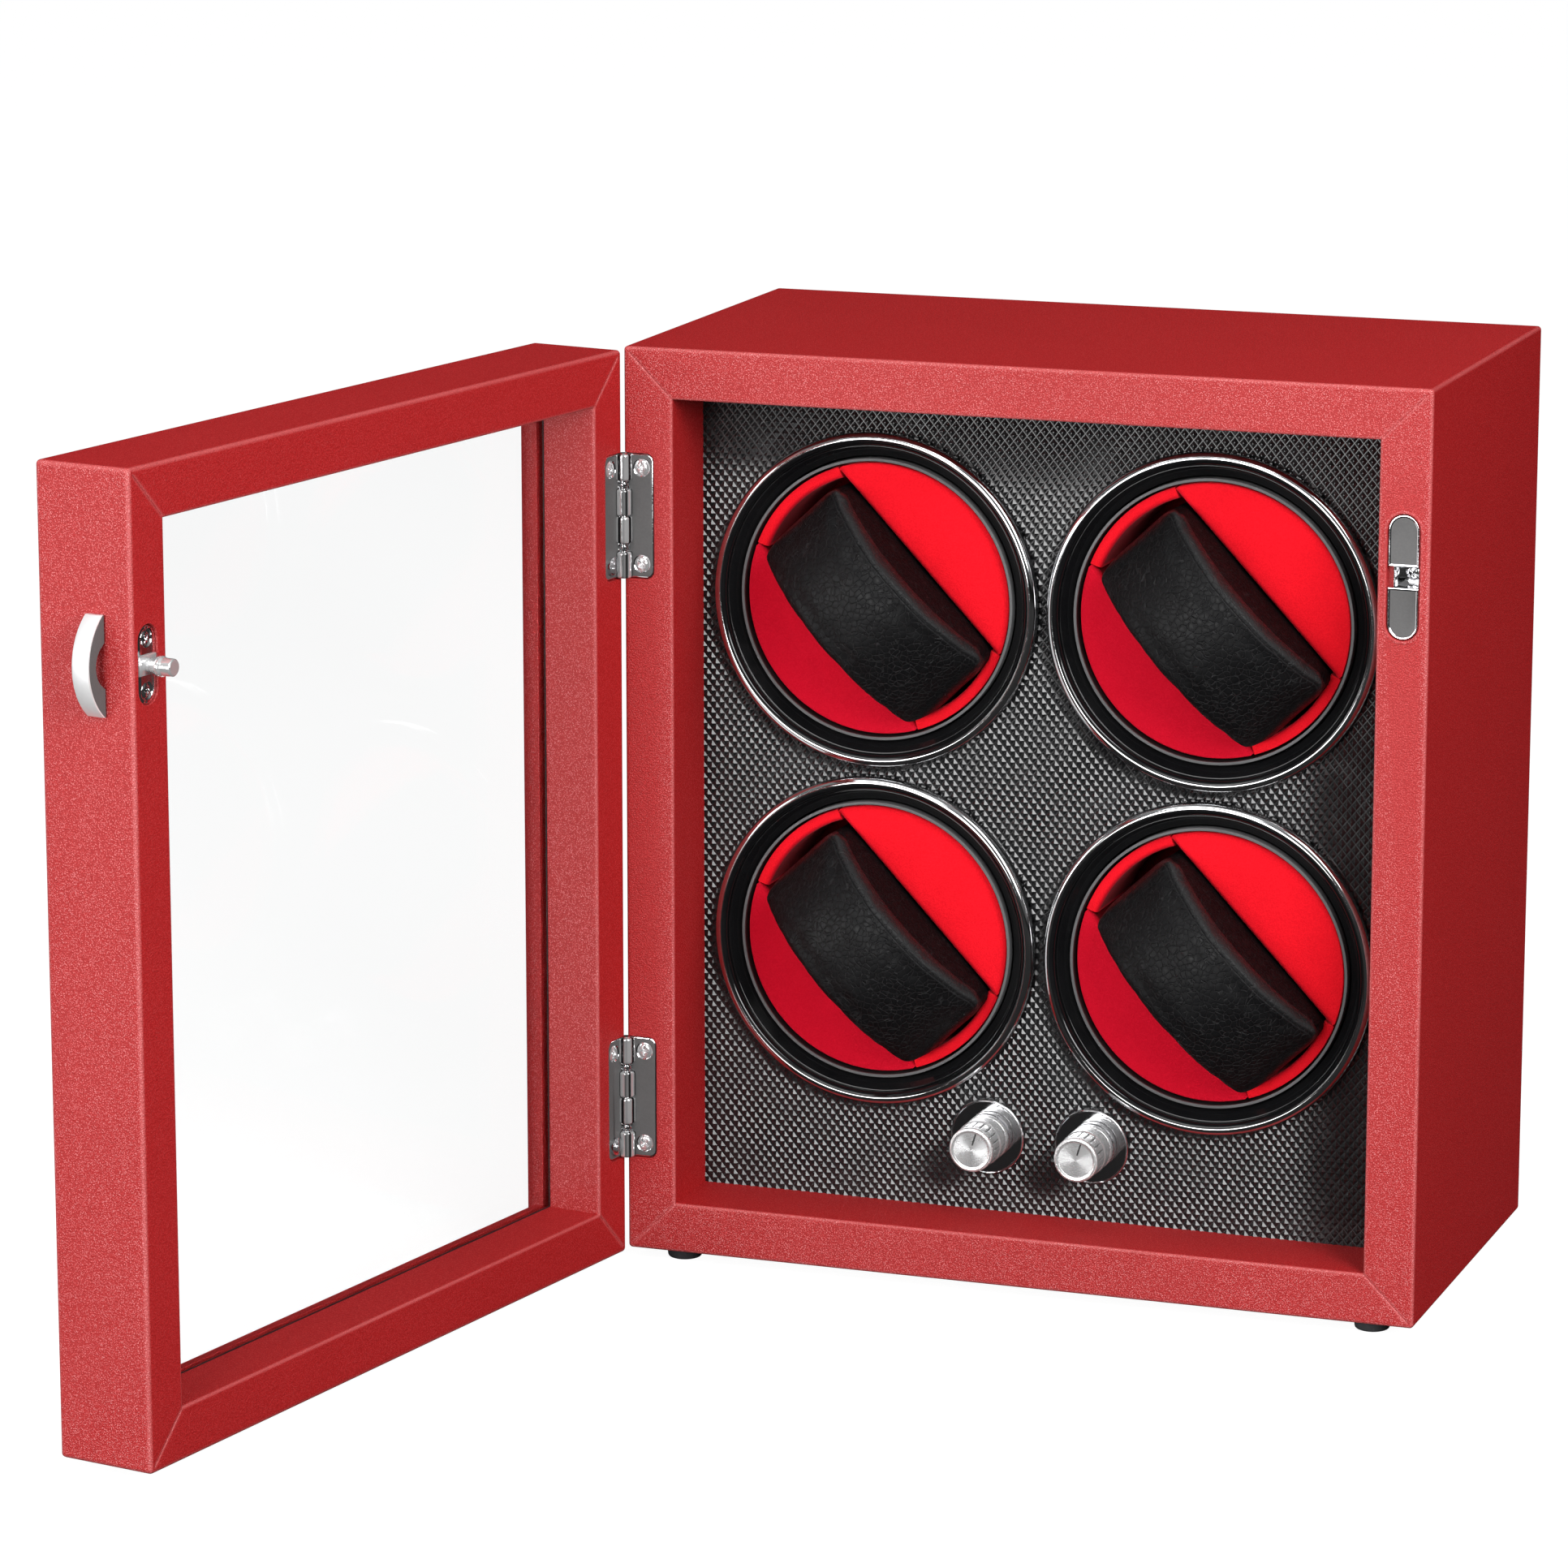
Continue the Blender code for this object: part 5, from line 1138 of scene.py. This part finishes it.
        dress(
            Skin().body(points, faces).make("keep_crosshead", self.cabinet_seat, [CHROME]), "cabinet", Slot.CHROME,
            "catch_screw",
        )
        self.lip(
            "keep_lip", lambda grow: stadium(*self.keep, grow), (self.keep_along, 0.0), -1.0, self.cabinet_seat,
            "cabinet",
        )

    def handle(self) -> None:
        """Bow handle: a bevelled section carried along z between an inner finger arch and an outer bow.

        The bow is a circle of radius (14^2 + 6.6^2) / 13.2 that rises 6.6 over ends 1.4 thick; the arch rises 4 over
        half a span of 6.2.
        """
        z = 14.0 * np.sin(np.linspace(-np.pi / 2, np.pi / 2, 61))
        rise, arch = (14.0**2 + 6.6**2) / 13.2, (6.2**2 + 4.0**2) / 8.0
        outer = 8.0 - rise + np.sqrt(rise**2 - z**2)
        inner = np.where(np.abs(z) < 6.2, 4.0 - arch + np.sqrt(np.maximum(arch**2 - z**2, 0.0)), 0.0)
        from_outer = np.array([1, 1, 1, 1, 1, 1, 1, 0, 0, 0, 0])
        off = np.array([0.7, 0.25, 0.05, 0.0, 0.05, 0.25, 0.7, 0.3, 0.0, 0.0, 0.3])
        y = np.array([-2.8, -2.7, -2.2, 0.0, 2.2, 2.7, 2.8, 2.8, 2.5, -2.5, -2.8])
        thin = np.minimum(1.0, (outer - inner) / 1.5)[:, None]
        x = np.where(from_outer, outer[:, None] - off * thin, inner[:, None] + off * thin)
        grid = np.stack([x, y + 0 * x, z[:, None] + 0 * x], -1)
        seat = DOOR_SEAT.moved(250.3, -12.0, self.up)
        skin = Skin().grid(grid[:, :7], cols_meet=False)
        skin.grid(grid[:, [6, 7]], cols_meet=False, band=1).grid(grid[:, [10, 0]], cols_meet=False, band=1)
        skin.grid(grid[:, 7:], cols_meet=False, band=1)
        ring = list(range(grid.shape[1]))
        skin.body(grid[0], [ring]).body(grid[-1], [ring])
        item = skin.make("handle_bow", seat, [BOW_METAL, PLATE_GREY])
        dress(item, "door", Slot.CHROME, "door_handle")


@dataclass
class Turntable:
    """A bezel in the panel, and the cup, velvet liner and watch pillow that turn in it."""

    level: Level
    side: Side
    turn: float = 46.6
    rim: float = 43.4
    bore: float = 42.5
    liner: float = 41.8
    slot_half: float = 17.35
    slot_end: float = 38.2
    slot_floor: float = 34.0

    def __post_init__(self) -> None:
        """Finds the turntable's middle from its CAD bezel."""
        self.key = f"{self.level.value}_{self.side.value}"
        low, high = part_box(f"bezel_{self.key}")
        middle = ((low.x + high.x) / 2, CABINET_SEAT.put(np.array([0, PANEL_FRONT, 0]))[1], (low.z + high.z) / 2)
        self.seat = Seat(tuple(middle), "Y", self.turn)
        self.centre = tuple((np.array(middle) - np.array(CABINET_SEAT.origin))[[0, 2]] / MM)

    def bezel(self) -> None:
        """Turned ring: chrome flank and crest, gloss black inside with a thin lip and a cone."""
        a = np.linspace(0, np.radians(100), 15)
        crest = np.stack([49.6 + 2.0 * np.cos(a), -2.8 - 2.0 * np.sin(a)], -1)
        chrome = np.concatenate([[(50.6, -0.3), (51.45, -0.3), (51.6, -0.5)], crest])
        a = np.linspace(np.radians(100), np.radians(165), 9)
        inner = np.stack([49.6 + 2.0 * np.cos(a), -2.8 - 2.0 * np.sin(a)], -1)
        path, _ = rounded(
            [
                (47.66, -3.3), (47.66, -2.7), (47.5, -3.0), (47.1, -3.0), (46.7, -2.6), (44.0, 0.0), (44.0, 9.0),
                (45.5, 9.0), (45.5, -0.3), (50.6, -0.3),
            ],
            [0, 0.1, 0.15, 0.15, 0.1, 0.5, 0.2, 0, 0, 0], 4,
        )
        skin = Skin().grid(lathe(chrome, 160)).grid(lathe(np.concatenate([inner, path]), 160), band=1)
        item = skin.make(f"bezel_ring_{self.key}", self.seat, [DARK_CHROME, GLOSS_BLACK], sharp=50.0)
        dress(item, "cabinet", Slot.BEZEL, f"bezel_{self.key}")

    def cup(self) -> None:
        """Turned cup: grey rim, black wall and floor, boss behind."""
        rim, _ = rounded(
            [(self.rim, 1.0), (self.rim, -2.0), (self.bore, -2.0), (self.bore, -1.3)], [0, 0.15, 0.15, 0], 4,
        )
        wall, _ = rounded([(self.bore, -1.3), (self.bore, 45.5), (0, 45.5)], [0, 0.5, 0], 4)
        back, _ = rounded(
            [(0, 50.6), (8.0, 50.6), (8.0, 48.0), (self.rim, 48.0), (self.rim, 1.0)], [0, 0.4, 0, 1.5, 0], 4,
        )
        skin = Skin().grid(lathe(rim, 128)).grid(lathe(wall, 128), band=1).grid(lathe(back, 128), band=1)
        item = skin.make(f"cup_shell_{self.key}", self.seat, [CUP_GREY, CUP_BLACK])
        dress(item, f"turntable_{self.key}", Slot.CUP, f"turning_cup_{self.key}")

    def lining(self) -> None:
        """Velvet: two half-moon blocks beside the slot, a rolled strip at each end of it and its floor.

        A half-moon's section runs up the slot wall, rounds over, crosses to the circle sqrt(R^2 - u^2) and goes down.
        """
        u = 37.2 * np.sin(np.linspace(-np.pi / 2, np.pi / 2, 57))[None]
        far = np.sqrt(self.liner**2 - u**2)
        a = np.linspace(0, np.pi / 2, 6)[:, None]
        tight = np.minimum(1.0, (far - self.slot_half) / 3.0)
        near_v = self.slot_half + 1.8 * tight * (1 - np.cos(a))
        near_y = 1.8 * tight * (1 - np.sin(a))
        q = np.linspace(0, 1, 9)[1:-1, None]
        flat_v = self.slot_half + 1.8 * tight + q * (far - self.slot_half - 2.4 * tight)
        far_v = far - 0.6 * tight * (1 - np.sin(a))
        far_y = 0.6 * tight * (1 - np.cos(a))
        deep = np.array([self.slot_floor, 24.0, 14.0, 7.0, 3.0])[:, None]
        v = np.concatenate([self.slot_half + 0 * deep + 0 * u, near_v, flat_v, far_v, far + 0 * a[:2]])
        y = np.concatenate([deep + 0 * u, near_y, 0 * flat_v, far_y, np.array([[6.0], [self.slot_floor]]) + 0 * u])
        skin = Skin()
        # The lower half-moon gets the turned pile's painted shade (1), and the slot-wall rows the slot's painted shade
        # (2).
        for sign, nap_shade in ((1.0, 0.0), (-1.0, 1.0)):
            moon = np.stack([u + 0 * v, y, sign * v], -1).transpose(1, 0, 2)
            nap_and_shade_rows = np.concatenate(
                [np.full(5, 2.0), nap_shade + (2 - nap_shade) * (1 - np.sin(a[:, 0])), np.full(len(v) - 11, nap_shade)],
            )
            skin.solid(moon, mark=np.broadcast_to(nap_and_shade_rows, moon.shape[:2]))
        strip, _ = rounded(
            [(self.liner, self.slot_floor), (self.liner, 0.2), (self.slot_end, 0.2), (self.slot_end, self.slot_floor)],
            [0, 0.3, 2.0, 0], 8,
        )
        # Painted shade: the strip darkens as it rolls down into the slot.
        strip_shade = np.where(strip[:, 0] < self.slot_end + 2.1, np.clip((strip[:, 1] - 0.3) / 2.6, 0.0, 1.0) * 2.0, 0.1)
        reach = np.radians(25.4)
        for middle in (0.0, np.pi):
            t = middle + np.linspace(-reach, reach, 25)[:, None]
            r = strip[None, :, 0]
            band = np.stack([r * np.cos(t), strip[None, :, 1] + 0 * t, r * np.sin(t)], -1)
            skin.solid(band, mark=np.broadcast_to(strip_shade, band.shape[:2]))
        floor = np.array(
            [(0, self.slot_floor), (self.liner - 0.1, self.slot_floor), (self.liner - 0.1, 45.2), (0, 45.2)],
        )
        # Painted shade: the slot floor is marked all dark.
        skin.grid(lathe(floor, 96), mark=2.0)
        item = skin.make(f"velvet_{self.key}", self.seat, [RED_VELVET], sharp=40.0)
        dress(item, f"turntable_{self.key}", Slot.VELVET, f"velvet_liner_{self.key}")

    def pillow(self, shape: tuple[Array, Array]) -> None:
        """Puts the swollen pillow, made once, into this slot."""
        grid, mark = shape
        skin = Skin().grid(grid[:, 11:47], cols_meet=False, mark=mark[:, 11:47])
        skin.grid(np.concatenate([grid[:, 46:], grid[:, :12]], 1), cols_meet=False, band=1)
        item = skin.make(f"pillow_{self.key}", self.seat, [BLACK_LEATHER, SIDE_LEATHER], sharp=60.0)
        soften = item.modifiers.new("round", "SUBSURF")
        soften.levels = soften.render_levels = 1
        dress(item, f"pillow_{self.key}", Slot.PILLOW, f"watch_pillow_{self.key}")


@dataclass
class Pillow:
    """A watch pillow: a bowed foam block in black leather, with a seam along the edge of one long side."""

    half: float = 35.275
    shift: float = 1.65
    plain_side: float = 15.5
    seam_side: float = 17.3
    crest: float = 27.7
    end: float = 12.0
    back: float = 33.7
    seam_round: float = 2.6
    plain_round: float = 3.2
    end_round: float = 2.2
    slack: float = 0.6
    most: float = 0.9
    scale: float = 10.0

    def start(self) -> tuple[Array, Array, int]:
        """The slightly smaller starting form.

        Along the pillow the front follows a circle through both ends and the crest. At a station the section goes up
        the seam side, round its corner, over the front, round the plain corner, down and along the back. Stations
        near an end draw in by r - sqrt(r^2 - t^2), and the end itself closes in shrinking rings.

        Returns:
            The grid of points by station and section, marks, and the section's seam row.
        """
        half = self.half - self.slack
        rise = self.crest - self.end
        bow = (self.half**2 + rise**2) / (2 * rise)
        a = np.linspace(0, np.pi / 2, 5)
        inner = np.linspace(-1, 1, 41) * (half - self.end_round)
        tip = half - self.end_round + self.end_round * np.sin(a[1:])
        station = np.concatenate([-tip[::-1], inner, tip])[:, None]
        past = np.maximum(np.abs(station) - (half - self.end_round), 0.0)
        draw = self.end_round - np.sqrt(np.maximum(self.end_round**2 - past**2, 0.0))
        left, right = self.plain_side - self.slack - draw, self.seam_side - self.slack - draw
        f = -(self.crest - self.slack - bow + np.sqrt(bow**2 - station**2)) + draw
        b = self.back - draw
        r1, r2 = self.seam_round, self.plain_round
        c1 = np.radians([0, 14, 26, 34, 42, 50, 58, 66, 74, 82, 90])
        c2 = np.radians([90, 75, 58, 40, 20, 0])
        climb = 1 - np.linspace(1, 0, 15) ** 1.6
        rows = b + climb[:-1] * (f + r1 - b)
        inside = np.clip((rows + 2.0) / 6.0, 0.0, 1.0)
        up = right - 0.9 * inside + 0 * rows
        span = np.linspace(0, 1, 17)[1:-1]
        down = (f + r2) + np.linspace(0, 1, 13)[1:] * (b - f - r2)
        base = np.linspace(-1, 1, 9)[1:-1]
        across = (right - r1) - span * (right + left - r1 - r2)
        n = np.concatenate(
            [up, right - r1 + r1 * np.cos(c1), across, r2 - left - r2 * np.cos(c2), -left + 0 * down, base * left],
            1,
        )
        y = np.concatenate(
            [rows, f + r1 - r1 * np.sin(c1), f + 0 * span, f + r2 - r2 * np.sin(c2), down, b + 0 * base], 1,
        )
        middle = np.stack([station + 0 * n, y, n], -1)
        shrink = np.array([0.78, 0.5, 0.22, 0.0])[:, None, None]
        caps = []
        for ring in (middle[0], middle[-1]):
            heart = ring.mean(0)
            caps.append(heart + (ring - heart) * shrink)
        grid = np.concatenate([caps[0][::-1], middle, caps[1]])
        return grid, np.zeros(grid.shape[:2]), len(climb) - 1 + 5

    def swell(self, grid: Array) -> Array:
        """Swells the cover with cloth under pressure, held in the slot, and caps how far a point moves."""
        skin = Skin().grid(grid * self.scale)
        item = skin.make("pillow_cover", Seat((0, 0, 0)))
        mesh = item.data
        rest = np.empty(len(mesh.vertices) * 3)
        mesh.vertices.foreach_get("co", rest)
        rest = rest.reshape(-1, 3)
        held = item.vertex_groups.new(name="held")
        held.add(np.flatnonzero(rest[:, 1] > 4.0 * MM * self.scale).tolist(), 1.0, "REPLACE")
        cloth = item.modifiers.new("swell", "CLOTH")
        use = cloth.settings
        use.vertex_group_mass = "held"
        use.use_pressure = True
        use.uniform_pressure_force = 4.0
        use.mass = 0.2
        use.quality = 5
        use.effector_weights.gravity = 0.0
        use.tension_stiffness = use.compression_stiffness = 12.0
        use.bending_stiffness = 0.4
        scene = bpy.context.scene
        for step in range(1, 21):
            scene.frame_set(step)
        graph = bpy.context.evaluated_depsgraph_get()
        soft = item.evaluated_get(graph).to_mesh()
        moved = np.empty(len(rest) * 3)
        soft.vertices.foreach_get("co", moved)
        moved = moved.reshape(-1, 3) - rest
        scene.frame_set(1)
        length = np.linalg.norm(moved, axis=1, keepdims=True) / (MM * self.scale)
        LOG.info("pillow cover moved %.2f mm at most before its cap", length.max())
        moved *= np.minimum(1.0, self.most / np.maximum(length, 1e-9))
        flat = (grid * self.scale * MM).reshape(-1, 3)
        order = self.nearest(rest, flat)
        swollen = flat + moved[order]
        bpy.data.meshes.remove(mesh)
        return swollen.reshape(grid.shape) / (self.scale * MM)

    @staticmethod
    def nearest(points: Array, wanted: Array) -> Array:
        """For each wanted place, the number of the nearest of the points."""
        parts = np.array_split(wanted, 40)
        return np.concatenate([((part[:, None] - points[None]) ** 2).sum(-1).argmin(1) for part in parts])

    def shape(self) -> tuple[Array, Array]:
        """The finished cover: swollen, with the seam drawn in, its two sides raised and a painted highlight along the
        shoulder beside the seam.

        Returns:
            The grid of points and their marks.
        """
        grid, mark, seam_row = self.start()
        swollen = self.swell(grid)
        along, across = np.gradient(swollen, axis=0), np.gradient(swollen, axis=1)
        normal = np.cross(along, across)
        normal /= np.maximum(np.linalg.norm(normal, axis=2, keepdims=True), 1e-9)
        outward = np.sign((normal * (swollen - swollen.mean((0, 1)))).sum())
        rows = np.arange(swollen.shape[1])
        dip = np.zeros(len(rows))
        dip[seam_row - 7 : seam_row + 4] = [0.15, 0.3, 0.38, 0.36, 0.3, 0.18, -0.34, 0.14, 0.08, 0.03, 0.0]
        dip[seam_row] = -0.38
        ease = np.ones(len(swollen))
        ease[:6] = ease[-6:] = 0.0
        swollen = swollen + outward * normal * dip[None, :, None] * ease[:, None, None]
        # Painted highlight: the shoulder rows beside the seam get a light mark.
        mark[:, seam_row - 8 : seam_row + 2] = [0.15, 0.3, 0.5, 0.75, 0.9, 0.8, 0.55, 0.2, 0.0, 0.5]
        return swollen + np.array([self.shift, 0.0, 0.0]), mark


@dataclass
class Control:
    """A speed control: black dial plate with a bright rim, and a spun aluminium knob with a pointer."""

    side: Side
    dial: float = 11.8
    hole: float = 3.7
    knob: float = 7.2
    face: float = 17.4
    base: float = 1.4
    flutes: int = 20
    pointer: float = 17.0

    def __post_init__(self) -> None:
        """Finds the control's middle from its CAD dial."""
        low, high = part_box(f"dial_plate_{self.side.value}")
        middle = ((low.x + high.x) / 2, CABINET_SEAT.put(np.array([0, PANEL_FRONT, 0]))[1], (low.z + high.z) / 2)
        self.seat = Seat(tuple(middle))
        self.centre = tuple((np.array(middle) - np.array(CABINET_SEAT.origin))[[0, 2]] / MM)

    def dial_piece(self) -> None:
        """Disc with a bright bevelled rim."""
        face = np.array([(self.hole, -0.3), (self.hole, -1.0), (self.dial - 0.75, -1.0), (self.dial - 0.7, -0.95)])
        rim = np.array(
            [
                (self.dial - 0.7, -0.95), (self.dial - 0.65, -1.06), (self.dial - 0.35, -1.1),
                (self.dial - 0.1, -0.9), (self.dial, -0.6), (self.dial, -0.3), (self.hole, -0.3),
            ],
        )
        skin = Skin().grid(lathe(face, 96)).grid(lathe(rim, 96), band=1)
        item = skin.make(f"dial_disc_{self.side.value}", self.seat, [DIAL_MIRROR, CHROME])
        dress(item, "cabinet", Slot.DIAL, f"dial_plate_{self.side.value}")

    def knob_piece(self) -> None:
        """Turned knob: spun face in fine rings, chamfer with two ring lines, flutes, band, groove and skirt.

        The radius along the fluted part is r - depth * (wave raised to a high power), wave being |cos(flutes a / 2)|.
        """
        f, r = -self.face, self.knob
        rings = np.linspace(0, 5.6, 29)[1:]
        dished = np.stack([rings, f + 0.25 + 0.03 * np.cos(np.arange(28) * np.pi)], -1)
        path = [
            (5.75, f + 0.1), (6.2, f), (6.5, f + 0.15), (6.55, f + 0.35), (6.75, f + 0.35), (6.95, f + 0.75),
            (6.95, f + 1.1), (6.7, f + 1.15), (6.7, f + 1.4), (6.95, f + 1.45),
        ]
        body, _ = rounded(path, [0.0] + [0.05] * 8 + [0.0], 3)
        flute = np.stack([np.full(14, 6.95), f + np.linspace(1.55, 7.6, 14)], -1)
        rest_path = [
            (7.0, f + 7.8), (r, f + 8.1), (r, -5.0), (6.6, -4.8), (6.6, -4.0), (r, -3.8), (r, -1.7),
            (6.9, -self.base), (0, -self.base),
        ]
        rest, _ = rounded(rest_path, [0.0, 0.15, 0.15, 0.1, 0.1, 0.15, 0.15, 0.1, 0.0], 4)
        profile = np.concatenate([[(0, f + 0.25)], dished, body, flute, rest])
        grid = lathe(profile, self.flutes * 16)
        first = 1 + len(dished) + len(body)
        ease = np.sin(np.linspace(0, np.pi, len(flute))) ** 0.25
        angle = np.linspace(0, 2 * np.pi, grid.shape[1], endpoint=False)
        depth = 0.4 * np.abs(np.cos(self.flutes * angle / 2)) ** 36
        shrink = 1 - ease[:, None] * depth[None] / 6.95
        grid[first : first + len(flute), :, 0] *= shrink
        grid[first : first + len(flute), :, 2] *= shrink
        # Painted shade: the groove behind the chamfer and the hollows of the flutes are marked dark, the flutes by
        # their depth.
        dark = np.where(
            (profile[:, 0] > 6.5) & (profile[:, 0] < 6.78) & (profile[:, 1] > f + 1.0), 0.8, 0.0,
        )[:, None] + 0 * angle
        dark[first : first + len(flute)] = ease[:, None] * depth[None] / 0.4
        item = Skin().grid(grid, mark=dark).make(f"knob_{self.side.value}_body", self.seat, [SPUN], sharp=40.0)
        dress(item, f"knob_{self.side.value}", Slot.SPUN, f"control_knob_{self.side.value}")
        bar = stacked(
            lambda grow: boxed((-0.22, 1.6), (0.22, 5.5), (0.2,) * 4, grow, 4),
            [(0.0, f + 0.5), (0.0, f + 0.2), (-0.08, f + 0.14)],
        )
        seat = Seat(self.seat.origin, "Y", self.pointer)
        line = Skin().solid(bar).make(f"knob_{self.side.value}_pointer", seat, [INK])
        dress(line, f"knob_{self.side.value}", Slot.DIAL)


class Drive:
    """The inner works, which keep their CAD solids and get finishes."""

    def dress(self) -> None:
        """Gives each inner node its finish."""
        redress("back_panel", RED_LEATHER)
        redress("chassis_plate", CHASSIS_GREY)
        redress("circuit_board", BOARD_GREEN)
        for side in Side:
            for node in ("drive_motor", "motor_pulley", "speed_control"):
                redress(f"{node}_{side.value}", STEEL)
            redress(f"drive_belt_{side.value}", RUBBER)
            for level in Level:
                for node in ("spindle_bush", "drive_pulley"):
                    redress(f"{node}_{level.value}_{side.value}", NYLON)


@dataclass
class Studio:
    """Camera at the photograph's view, placed from the cabinet's low front left corner, pale floor and soft light."""

    lens: float = 143.538
    place: tuple[float, float, float] = (0.680057, -1.736076, 0.558110)
    right: tuple[float, float, float] = (0.940225, 0.340555, 0.0)
    up: tuple[float, float, float] = (-0.073341, 0.202485, 0.976535)
    sight: tuple[float, float, float] = (-0.332564, 0.918162, -0.215359)
    ambient: Step = (0.1, 0.4)

    def camera(self) -> None:
        """Makes the camera and looks through it."""
        data = bpy.data.cameras.new("camera")
        data.lens, data.sensor_width = self.lens, 36.0
        data.clip_start, data.clip_end = 0.05, 60.0
        item = bpy.data.objects.new("camera", data)
        place = np.array(CABINET_SEAT.origin) + self.place
        axes = np.stack([self.right, self.up, -np.array(self.sight), place], 1)
        item.matrix_world = Matrix(np.vstack([axes, [0, 0, 0, 1]]).tolist())
        bpy.context.scene.collection.objects.link(item)
        bpy.context.scene.camera = item

    def lamp(
        self, name: str, place: tuple[float, float, float], size: Step, power: float, mirrored: bool = True,
    ) -> None:
        """One rectangular soft light that faces the middle of the part and may show in mirrors."""
        data = bpy.data.lights.new(name, "AREA")
        data.shape, data.size, data.size_y, data.energy = "RECTANGLE", size[0], size[1], power
        item = bpy.data.objects.new(name, data)
        low, high = CAD_BOX
        aim = (low + high) / 2
        item.location = place
        item.rotation_euler = (aim - item.location).to_track_quat("-Z", "Y").to_euler()
        item.visible_glossy = mirrored
        bpy.context.scene.collection.objects.link(item)

    def floor(self) -> None:
        """A wide pale floor, white to the eye and grey in reflections."""
        level = CAD_BOX[0].z / MM
        edge = np.array([(-9000, -9000), (9000, -9000), (9000, 15000), (-9000, 15000)], float)
        points = np.concatenate([edge, np.full((4, 1), level)], 1)
        item = Skin().body(points, [[0, 1, 2, 3]]).make("floor", Seat((0, 0, 0)), [FLOOR_WHITE], sheet=True)

    def sky(self) -> None:
        """A soft sky, brighter overhead than at the horizon and dark behind the part."""
        world = bpy.data.worlds.new("sky")
        world.use_nodes = True
        g = Graph(world.node_tree)
        way = g.add("SeparateXYZ", {0: g.add("TexCoord").outputs["Generated"]}).outputs
        height = g.span(way["Z"], (-0.1, 0.9), self.ambient)
        bright = g.math("MULTIPLY", height, g.span(way["Y"], (-0.2, 0.7), (1.0, 0.12)))
        grey = g.add("CombineXYZ", {0: bright, 1: bright, 2: bright}).outputs[0]
        g.plug(world.node_tree.nodes["Background"].inputs["Color"], grey)
        bpy.context.scene.world = world

    def build(self) -> None:
        """Sets up camera, floor, sky and lights."""
        self.camera()
        self.floor()
        self.sky()
        bpy.context.scene.view_settings.view_transform = "Standard"
        self.lamp("key", (-0.28, -1.4, 0.26), (0.7, 0.5), 10.8)
        self.lamp("side_key", (-1.4, -1.4, 0.32), (0.5, 0.55), 9.0)
        self.lamp("strip", (0.85, -0.75, 0.8), (0.4, 1.0), 13.0)
        self.lamp("upper", (-0.25, -1.0, 0.95), (0.8, 0.25), 3.6)
        self.lamp("overhead", (0.0, 0.1, 1.6), (1.0, 1.0), 7.2, mirrored=False)
        self.lamp("fill", (1.45, -0.6, 0.75), (1.0, 0.8), 9.0, mirrored=False)


def main() -> None:
    """Builds the studio and the sub-assemblies in order."""
    logging.basicConfig(level=logging.INFO, format="%(message)s")
    Studio().build()
    tables = [Turntable(level, side) for level in Level for side in Side]
    controls = [Control(side) for side in Side]
    hinges = [Hinge(level) for level in Level]
    catch = Catch()
    cabinet, door = Cabinet(), Door()
    cabinet.shell([cut for hinge in hinges for cut in hinge.cutter("cabinet")] + catch.cabinet_cutters())
    door.frame_piece([cut for hinge in hinges for cut in hinge.cutter("door")] + [catch.door_cutter()])
    cabinet.cover([t.centre for t in tables], [c.centre for c in controls], 50.6, 11.2)
    cabinet.inlet()
    cabinet.feet()
    door.glazing()
    for hinge in hinges:
        hinge.leaf_piece("cabinet")
        hinge.leaf_piece("door")
        hinge.pin_piece()
    catch.stud_plate()
    catch.keep_piece()
    catch.handle()
    cushion = Pillow().shape()
    for table in tables:
        table.bezel()
        table.cup()
        table.lining()
        table.pillow(cushion)
    for control in controls:
        control.dial_piece()
        control.knob_piece()
    Drive().dress()


if __name__ == "__main__":
    main()
